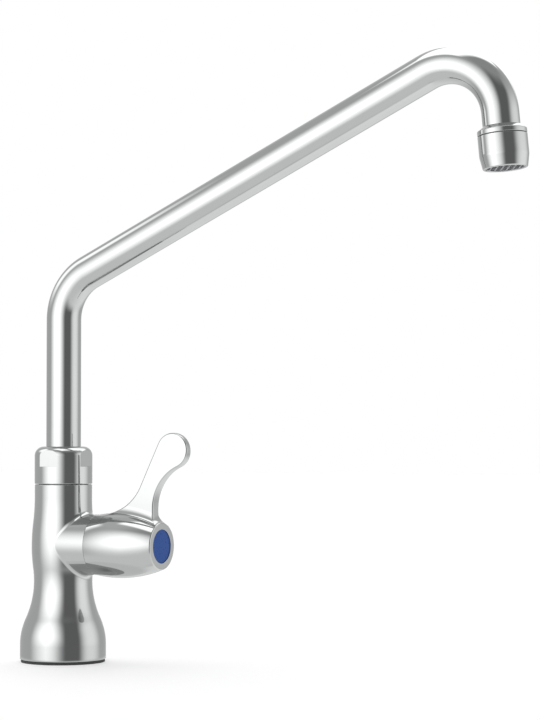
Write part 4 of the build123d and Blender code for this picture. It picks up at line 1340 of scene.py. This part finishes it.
class TAP_OT_aerator(bpy.types.Operator):
    """End fitting and aerator housing at the spout's outlet"""

    bl_idname = "tap.aerator"
    bl_label = "Aerator"

    def execute(self, context):
        s, a = context.scene.tap_spout, context.scene.tap_aerator
        axis = outlet_axis(s)
        edge = 0.3 * MM
        inner = s.tube_radius + CLEAR / 2
        bore = s.tube_radius - s.tube_wall
        top = -a.ring - a.cone
        corners = [
            (s.tube_radius + a.neck, top),
            (a.radius, -a.ring, 2 * edge),
            (a.radius, 0, edge),
            (a.nipple_radius, 0),
            (a.nipple_radius, a.nipple_length),
            (bore, a.nipple_length),
            (bore, a.tube_socket),
            (inner, a.tube_socket),
            (inner, top),
        ]
        turned_piece("spout_end_fitting", corners, "spout", "end_fitting", "chrome", axis)
        corners = [
            (a.lip_radius, a.lip_start),
            (a.insert_radius + CLEAR, a.lip_start),
            (a.insert_radius + CLEAR, a.insert_start),
            (a.nipple_radius + CLEAR, a.insert_start),
            (a.nipple_radius + CLEAR, a.seam),
            (a.radius, a.seam, edge),
            (a.radius, a.housing - a.taper, a.taper_edge),
            (a.radius - a.draw, a.housing, a.lip_edge),
            (a.lip_radius, a.housing, a.lip_edge / 2),
        ]
        turned_piece("aerator_shell", corners, "spout", "aerator_housing", "chrome", axis)
        return {"FINISHED"}


class TAP_OT_fixings(bpy.types.Operator):
    """Threaded shank and washers under the deck"""

    bl_idname = "tap.fixings"
    bl_label = "Deck Fixings"

    def execute(self, context):
        f = context.scene.tap_fixings
        piece(build_shank(f), "tap", "threaded_shank", "brass")
        middle = -f.deck - f.deck_washer_thickness
        rubber = flat_ring(f.washer_bore, f.deck_washer_radius, middle, -f.deck, 0.4 * MM)
        turned_piece("rubber_deck_washer", rubber, "deck_fixing", "deck_washer", "rubber")
        low = middle - f.clamp_washer_thickness
        steel = flat_ring(f.washer_bore, f.clamp_washer_radius, low, middle, 0.2 * MM)
        turned_piece("steel_clamp_washer", steel, "deck_fixing", "clamp_washer", "zinc_steel")
        return {"FINISHED"}


class TAP_OT_inner(bpy.types.Operator):
    """Finishes of the pieces that are shown as drawn: valve, seals, back nut and aerator's insides"""

    bl_idname = "tap.inner_pieces"
    bl_label = "Inner Pieces"

    def execute(self, context):
        for row in frame["record"]["subparts"]:
            materials = frame["nodes"][row["node"]].data.materials
            materials.clear()
            materials.append(finish_of(row["material_slot"]))
        return {"FINISHED"}


class TAP_OT_studio(bpy.types.Operator):
    """Pale floor, soft studio light and the camera"""

    bl_idname = "tap.studio"
    bl_label = "Studio"

    def execute(self, context):
        scene = context.scene
        make_floor(scene.tap_studio)
        make_panels(scene.tap_studio)
        make_light(scene)
        make_camera(scene)
        return {"FINISHED"}


OPERATORS = (
    TAP_OT_pillar, TAP_OT_gasket, TAP_OT_handle, TAP_OT_index, TAP_OT_nut, TAP_OT_spout, TAP_OT_aerator,
    TAP_OT_fixings, TAP_OT_inner, TAP_OT_studio,
)


# Studio

# Levels of the room as the tap's chrome mirrors them, brightened by ROOM_STRENGTH to make up
# for what the chrome takes. Bearings in degrees, 0 towards the camera, growing to the camera's
# right; heights in degrees over the horizon. A later part lies over an earlier one.
ROOM_STRENGTH = 1.3
ROOM_WALL = 0.38
FAR_PARTS = (
    # name, bearing, half width, side blur, low, high, edge blur, level
    ("back_wall", -174, 13, 22, -90, 60, 8, 0.52),
    ("upper_room", 180, 190, 5, 50, 90, 8, 0.41),
    ("dark_gap", 24, 38, 16, -90, 90, 8, 0.11),
    ("dark_gap_top", 30, 80, 30, 48, 90, 12, 0.26),
    ("far_floor", 180, 190, 5, -90, -22, 12, 0.56),
    ("far_floor_behind", 120, 60, 60, -90, -22, 12, 0.74),
)
# Lights and reflectors close to the tap, upright and facing it, in metres
NEAR_PANELS = (
    # name, bearing, distance, half width, side blur, low, low blur, high, high blur, level
    ("left_softbox", -41, 0.75, 0.415, 0.63, -0.11, 0.37, 0.70, 0.57, 1.6),
    ("small_light", -115, 0.40, 0.11, 0.07, 0.29, 0.07, 0.62, 0.08, 1.15),
    ("right_reflector", 85, 0.70, 0.32, 0.28, -0.15, 0.20, 0.49, 0.20, 0.79),
    ("rear_light", 130, 0.37, 0.17, 0.06, 0.37, 0.05, 0.80, 0.10, 1.2),
)
# The light overhead lies flat: its middle as (towards the camera, to its right, up) from the tap's
# foot, the bearing of its long side, and its sizes in the order above
OVERHEAD_PLACE = (-0.06, 0.13, 0.75)
OVERHEAD_BEARING = 124
OVERHEAD_SIZES = (0.22, 0.04, -0.35, 0.05, 0.35, 0.05)
OVERHEAD_LEVEL = 1.25
FLOOR_SURFACE = {"Base Color": (0.9, 0.9, 0.9, 1), "Roughness": 0.6, "Specular IOR Level": 0.2}
FLOOR_LEVEL = 1.04
FLOOR_GLOW = 0.5                # how much of the floor's light no shadow takes away
MIRRORED_FLOOR = (0.038, 0.05)  # radius of the floor that reflections see, and of its faded edge
# The floor close to the tap glows for reflections instead of being lit: a painted reflection of the
# floor, a little darker than the room's far floor as painted shade around the foot.
MIRRORED_FLOOR_LEVEL = 0.5
# Where chrome mirrors what other chrome mirrors, every level goes by a share towards one level
SECOND_DEPTH = 1.5              # a first reflection has depth 1, a second one 2
SECOND_LEVEL = 0.26
SECOND_SHARE = 0.75
DAYLIGHT_SPREAD = 75            # degrees
DAYLIGHT_STRENGTH = 2.4
DAYLIGHT_TILT = (-14, -16)      # degrees about X and Y
SENSOR_WIDTH = 36               # millimetres
WHITE = (1, 1, 1, 1)


def stage_plane(name, low, high, material):
    """A flat stage object in its own XY plane, from one corner to the other."""
    mesh = bpy.data.meshes.new(name)
    (x0, y0), (x1, y1) = low, high
    corners = [(x0, y0, 0), (x1, y0, 0), (x1, y1, 0), (x0, y1, 0)]
    mesh.from_pydata(corners, [], [(0, 1, 2, 3)])
    mesh.materials.append(material)
    plane = bpy.data.objects.new(name, mesh)
    bpy.context.scene.collection.objects.link(plane)
    return plane


def room_light(tree, level):
    """A level of the room's light, duller where chrome mirrors what other chrome mirrors."""
    maths = maths_of(tree)
    depth = add_node(tree, "ShaderNodeLightPath").outputs["Glossy Depth"]
    change = maths("MULTIPLY", maths("GREATER_THAN", depth, SECOND_DEPTH), SECOND_SHARE)
    dulled = maths("MULTIPLY_ADD", maths("SUBTRACT", SECOND_LEVEL, level), change, level)
    return maths("MULTIPLY", dulled, ROOM_STRENGTH)


def glow_of(tree, level):
    return add_node(tree, "ShaderNodeEmission", {"Color": WHITE, "Strength": level}).outputs[0]


def mixed(tree, share, first, second):
    """Mix of two shaders; a share of 1 is all the second one."""
    return add_node(tree, "ShaderNodeMixShader", {0: share, 1: first, 2: second}).outputs[0]


def make_floor(studio):
    """Pale floor. Reflections see only the floor close to the tap, and further out the room's own."""
    material, tree, surface = shader("pale_floor")
    feed(tree, surface, FLOOR_SURFACE)
    place = add_node(tree, "ShaderNodeTexCoord").outputs["Object"]
    away = add_node(tree, "ShaderNodeVectorMath", {0: place}, operation="LENGTH").outputs["Value"]
    through = add_node(tree, "ShaderNodeBsdfTransparent").outputs[0]
    # painted reflection of the floor near the tap, with painted shade around the foot
    near = glow_of(tree, room_light(tree, MIRRORED_FLOOR_LEVEL))
    in_chrome = mixed(tree, smooth_step(tree, away, *MIRRORED_FLOOR), near, through)
    seen = mixed(tree, FLOOR_GLOW, surface.outputs["BSDF"], glow_of(tree, FLOOR_LEVEL))
    glossy = add_node(tree, "ShaderNodeLightPath").outputs["Is Glossy Ray"]
    feed(tree, tree.nodes["Material Output"], {"Surface": mixed(tree, glossy, seen, in_chrome)})
    half = studio.floor / 2
    stage_plane("studio_floor", (-half, -half), (half, half), material)


def lit_panel(name, sizes, level):
    """An upright light or reflector with blurred edges, which only reflections see."""
    wide, side_blur, low, low_blur, high, high_blur = sizes
    material, tree, surface = shader(name)
    tree.nodes.remove(surface)
    maths = maths_of(tree)
    place = add_node(tree, "ShaderNodeTexCoord").outputs["Object"]
    across, up, _ = add_node(tree, "ShaderNodeSeparateXYZ", {0: place}).outputs
    shown = smooth_step(tree, maths("ABSOLUTE", across), wide + side_blur, wide - side_blur)
    for start, end in ((low - low_blur, low + low_blur), (high + high_blur, high - high_blur)):
        shown = maths("MULTIPLY", shown, smooth_step(tree, up, start, end))
    through = add_node(tree, "ShaderNodeBsdfTransparent").outputs[0]
    cloth = mixed(tree, shown, through, glow_of(tree, room_light(tree, level)))
    feed(tree, tree.nodes["Material Output"], {"Surface": cloth})
    half, bottom, top = wide + side_blur, low - low_blur, high + high_blur
    panel = stage_plane(name, (-half, bottom), (half, top), material)
    panel.visible_camera = False
    panel.visible_diffuse = False
    panel.visible_shadow = False
    return panel


def spot_in_view(turn, ahead, aside, height):
    """A spot given as towards the camera, to its right and up."""
    return ahead * sin(turn) + aside * cos(turn), -ahead * cos(turn) + aside * sin(turn), height


def make_panels(studio):
    """The lights and reflectors around and over the tap."""
    for name, bearing, distance, *sizes, level in NEAR_PANELS:
        panel = lit_panel(name, sizes, level)
        turn = studio.camera_turn + radians(bearing)
        panel.location = spot_in_view(turn, distance, 0, 0)
        panel.rotation_euler = Euler((pi / 2, 0, turn))
    panel = lit_panel("overhead_softbox", OVERHEAD_SIZES, OVERHEAD_LEVEL)
    panel.location = spot_in_view(studio.camera_turn, *OVERHEAD_PLACE)
    panel.rotation_euler = Euler((0, 0, studio.camera_turn + radians(OVERHEAD_BEARING - 180)))


def soft_panel():
    """Node group: how much of a panel shows at a bearing and height, with blurred edges."""
    tree = bpy.data.node_groups.new("Soft panel", "ShaderNodeTree")
    names = ("Bearing", "Height", "Centre", "Half width", "Side blur", "Low", "High", "Edge blur")
    add_sockets(tree, "INPUT", "Float", *names)
    add_sockets(tree, "OUTPUT", "Float", "Share")
    outputs = add_node(tree, "NodeGroupInput").outputs
    bearing, height, centre, wide, side_blur, low, high, edge = [outputs[name] for name in names]
    maths = maths_of(tree)
    off = maths("PINGPONG", maths("SUBTRACT", bearing, centre), 180)
    share = smooth_step(tree, off, maths("ADD", wide, side_blur), maths("SUBTRACT", wide, side_blur))
    above = smooth_step(tree, height, maths("SUBTRACT", low, edge), maths("ADD", low, edge))
    below = smooth_step(tree, height, maths("ADD", high, edge), maths("SUBTRACT", high, edge))
    share = maths("MULTIPLY", share, maths("MULTIPLY", above, below))
    add_node(tree, "NodeGroupOutput", {0: share})
    return tree


def make_light(scene):
    """World light: a grey room with soft panels, and an even light from above for the floor."""
    turn = scene.tap_studio.camera_turn
    world = bpy.data.worlds.new("soft_studio")
    scene.world = world
    world.use_nodes = True
    tree = world.node_tree
    maths = maths_of(tree)
    place = add_node(tree, "ShaderNodeTexCoord").outputs["Generated"]
    x, y, z = add_node(tree, "ShaderNodeSeparateXYZ", {0: place}).outputs
    ahead = maths("ADD", maths("MULTIPLY", x, sin(turn)), maths("MULTIPLY", y, -cos(turn)))
    aside = maths("ADD", maths("MULTIPLY", x, cos(turn)), maths("MULTIPLY", y, sin(turn)))
    bearing = maths("DEGREES", maths("ARCTAN2", aside, ahead))
    height = maths("DEGREES", maths("ARCSINE", z))
    group = soft_panel()
    level = ROOM_WALL
    for name, *sizes, value in FAR_PARTS:
        inputs = {0: bearing, 1: height, **dict(enumerate(sizes, 2))}
        share = add_node(tree, "ShaderNodeGroup", inputs, node_tree=group, label=name).outputs[0]
        inputs = {"Factor": share, "A": level, "B": value}
        level = add_node(tree, "ShaderNodeMix", inputs).outputs["Result"]
    room = tree.nodes["Background"]
    feed(tree, room, {"Color": room_light(tree, level)})
    plain = add_node(tree, "ShaderNodeBackground", {"Color": WHITE}).outputs[0]
    seen = add_node(tree, "ShaderNodeLightPath").outputs["Is Camera Ray"]
    feed(tree, tree.nodes["World Output"], {"Surface": mixed(tree, seen, room.outputs[0], plain)})
    scene.view_settings.view_transform = "Standard"

    lamp = bpy.data.lights.new("overhead_daylight", "SUN")
    lamp.angle = radians(DAYLIGHT_SPREAD)
    lamp.energy = DAYLIGHT_STRENGTH
    light = bpy.data.objects.new("overhead_daylight", lamp)
    light.rotation_euler = Euler((*map(radians, DAYLIGHT_TILT), 0))
    light.visible_glossy = False
    scene.collection.objects.link(light)


def make_camera(scene):
    studio = scene.tap_studio
    data = bpy.data.cameras.new("camera")
    data.sensor_width = SENSOR_WIDTH
    data.lens = studio.lens
    data.clip_start = 0.01
    camera = bpy.data.objects.new("camera", data)
    camera.location = studio.camera_place
    camera.rotation_euler = Euler((pi / 2 + studio.camera_pitch, 0, studio.camera_turn))
    scene.collection.objects.link(camera)
    scene.camera = camera


class TAP_PT_panel(bpy.types.Panel):
    """Lists the tap's pieces"""

    bl_label = "Swivel Tap"
    bl_idname = "TAP_PT_panel"
    bl_space_type = "VIEW_3D"
    bl_region_type = "UI"
    bl_category = "Swivel Tap"

    def draw(self, context):
        for operator in OPERATORS:
            self.layout.operator(operator.bl_idname)
        for name, group in GROUPS.items():
            box = self.layout.box()
            settings = getattr(context.scene, name)
            for key in group.__annotations__:
                box.prop(settings, key)


def register():
    for group in GROUPS.values():
        bpy.utils.register_class(group)
    for name, group in GROUPS.items():
        setattr(bpy.types.Scene, name, PointerProperty(type=group))
    for operator in OPERATORS:
        bpy.utils.register_class(operator)
    bpy.utils.register_class(TAP_PT_panel)


def unregister():
    bpy.utils.unregister_class(TAP_PT_panel)
    for operator in reversed(OPERATORS):
        bpy.utils.unregister_class(operator)
    for name in GROUPS:
        delattr(bpy.types.Scene, name)
    for group in GROUPS.values():
        bpy.utils.unregister_class(group)


def main():
    register()
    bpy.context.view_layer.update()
    for operator in OPERATORS:
        getattr(bpy.ops.tap, operator.bl_idname.split(".")[1])()


if __name__ == "__main__":
    main()
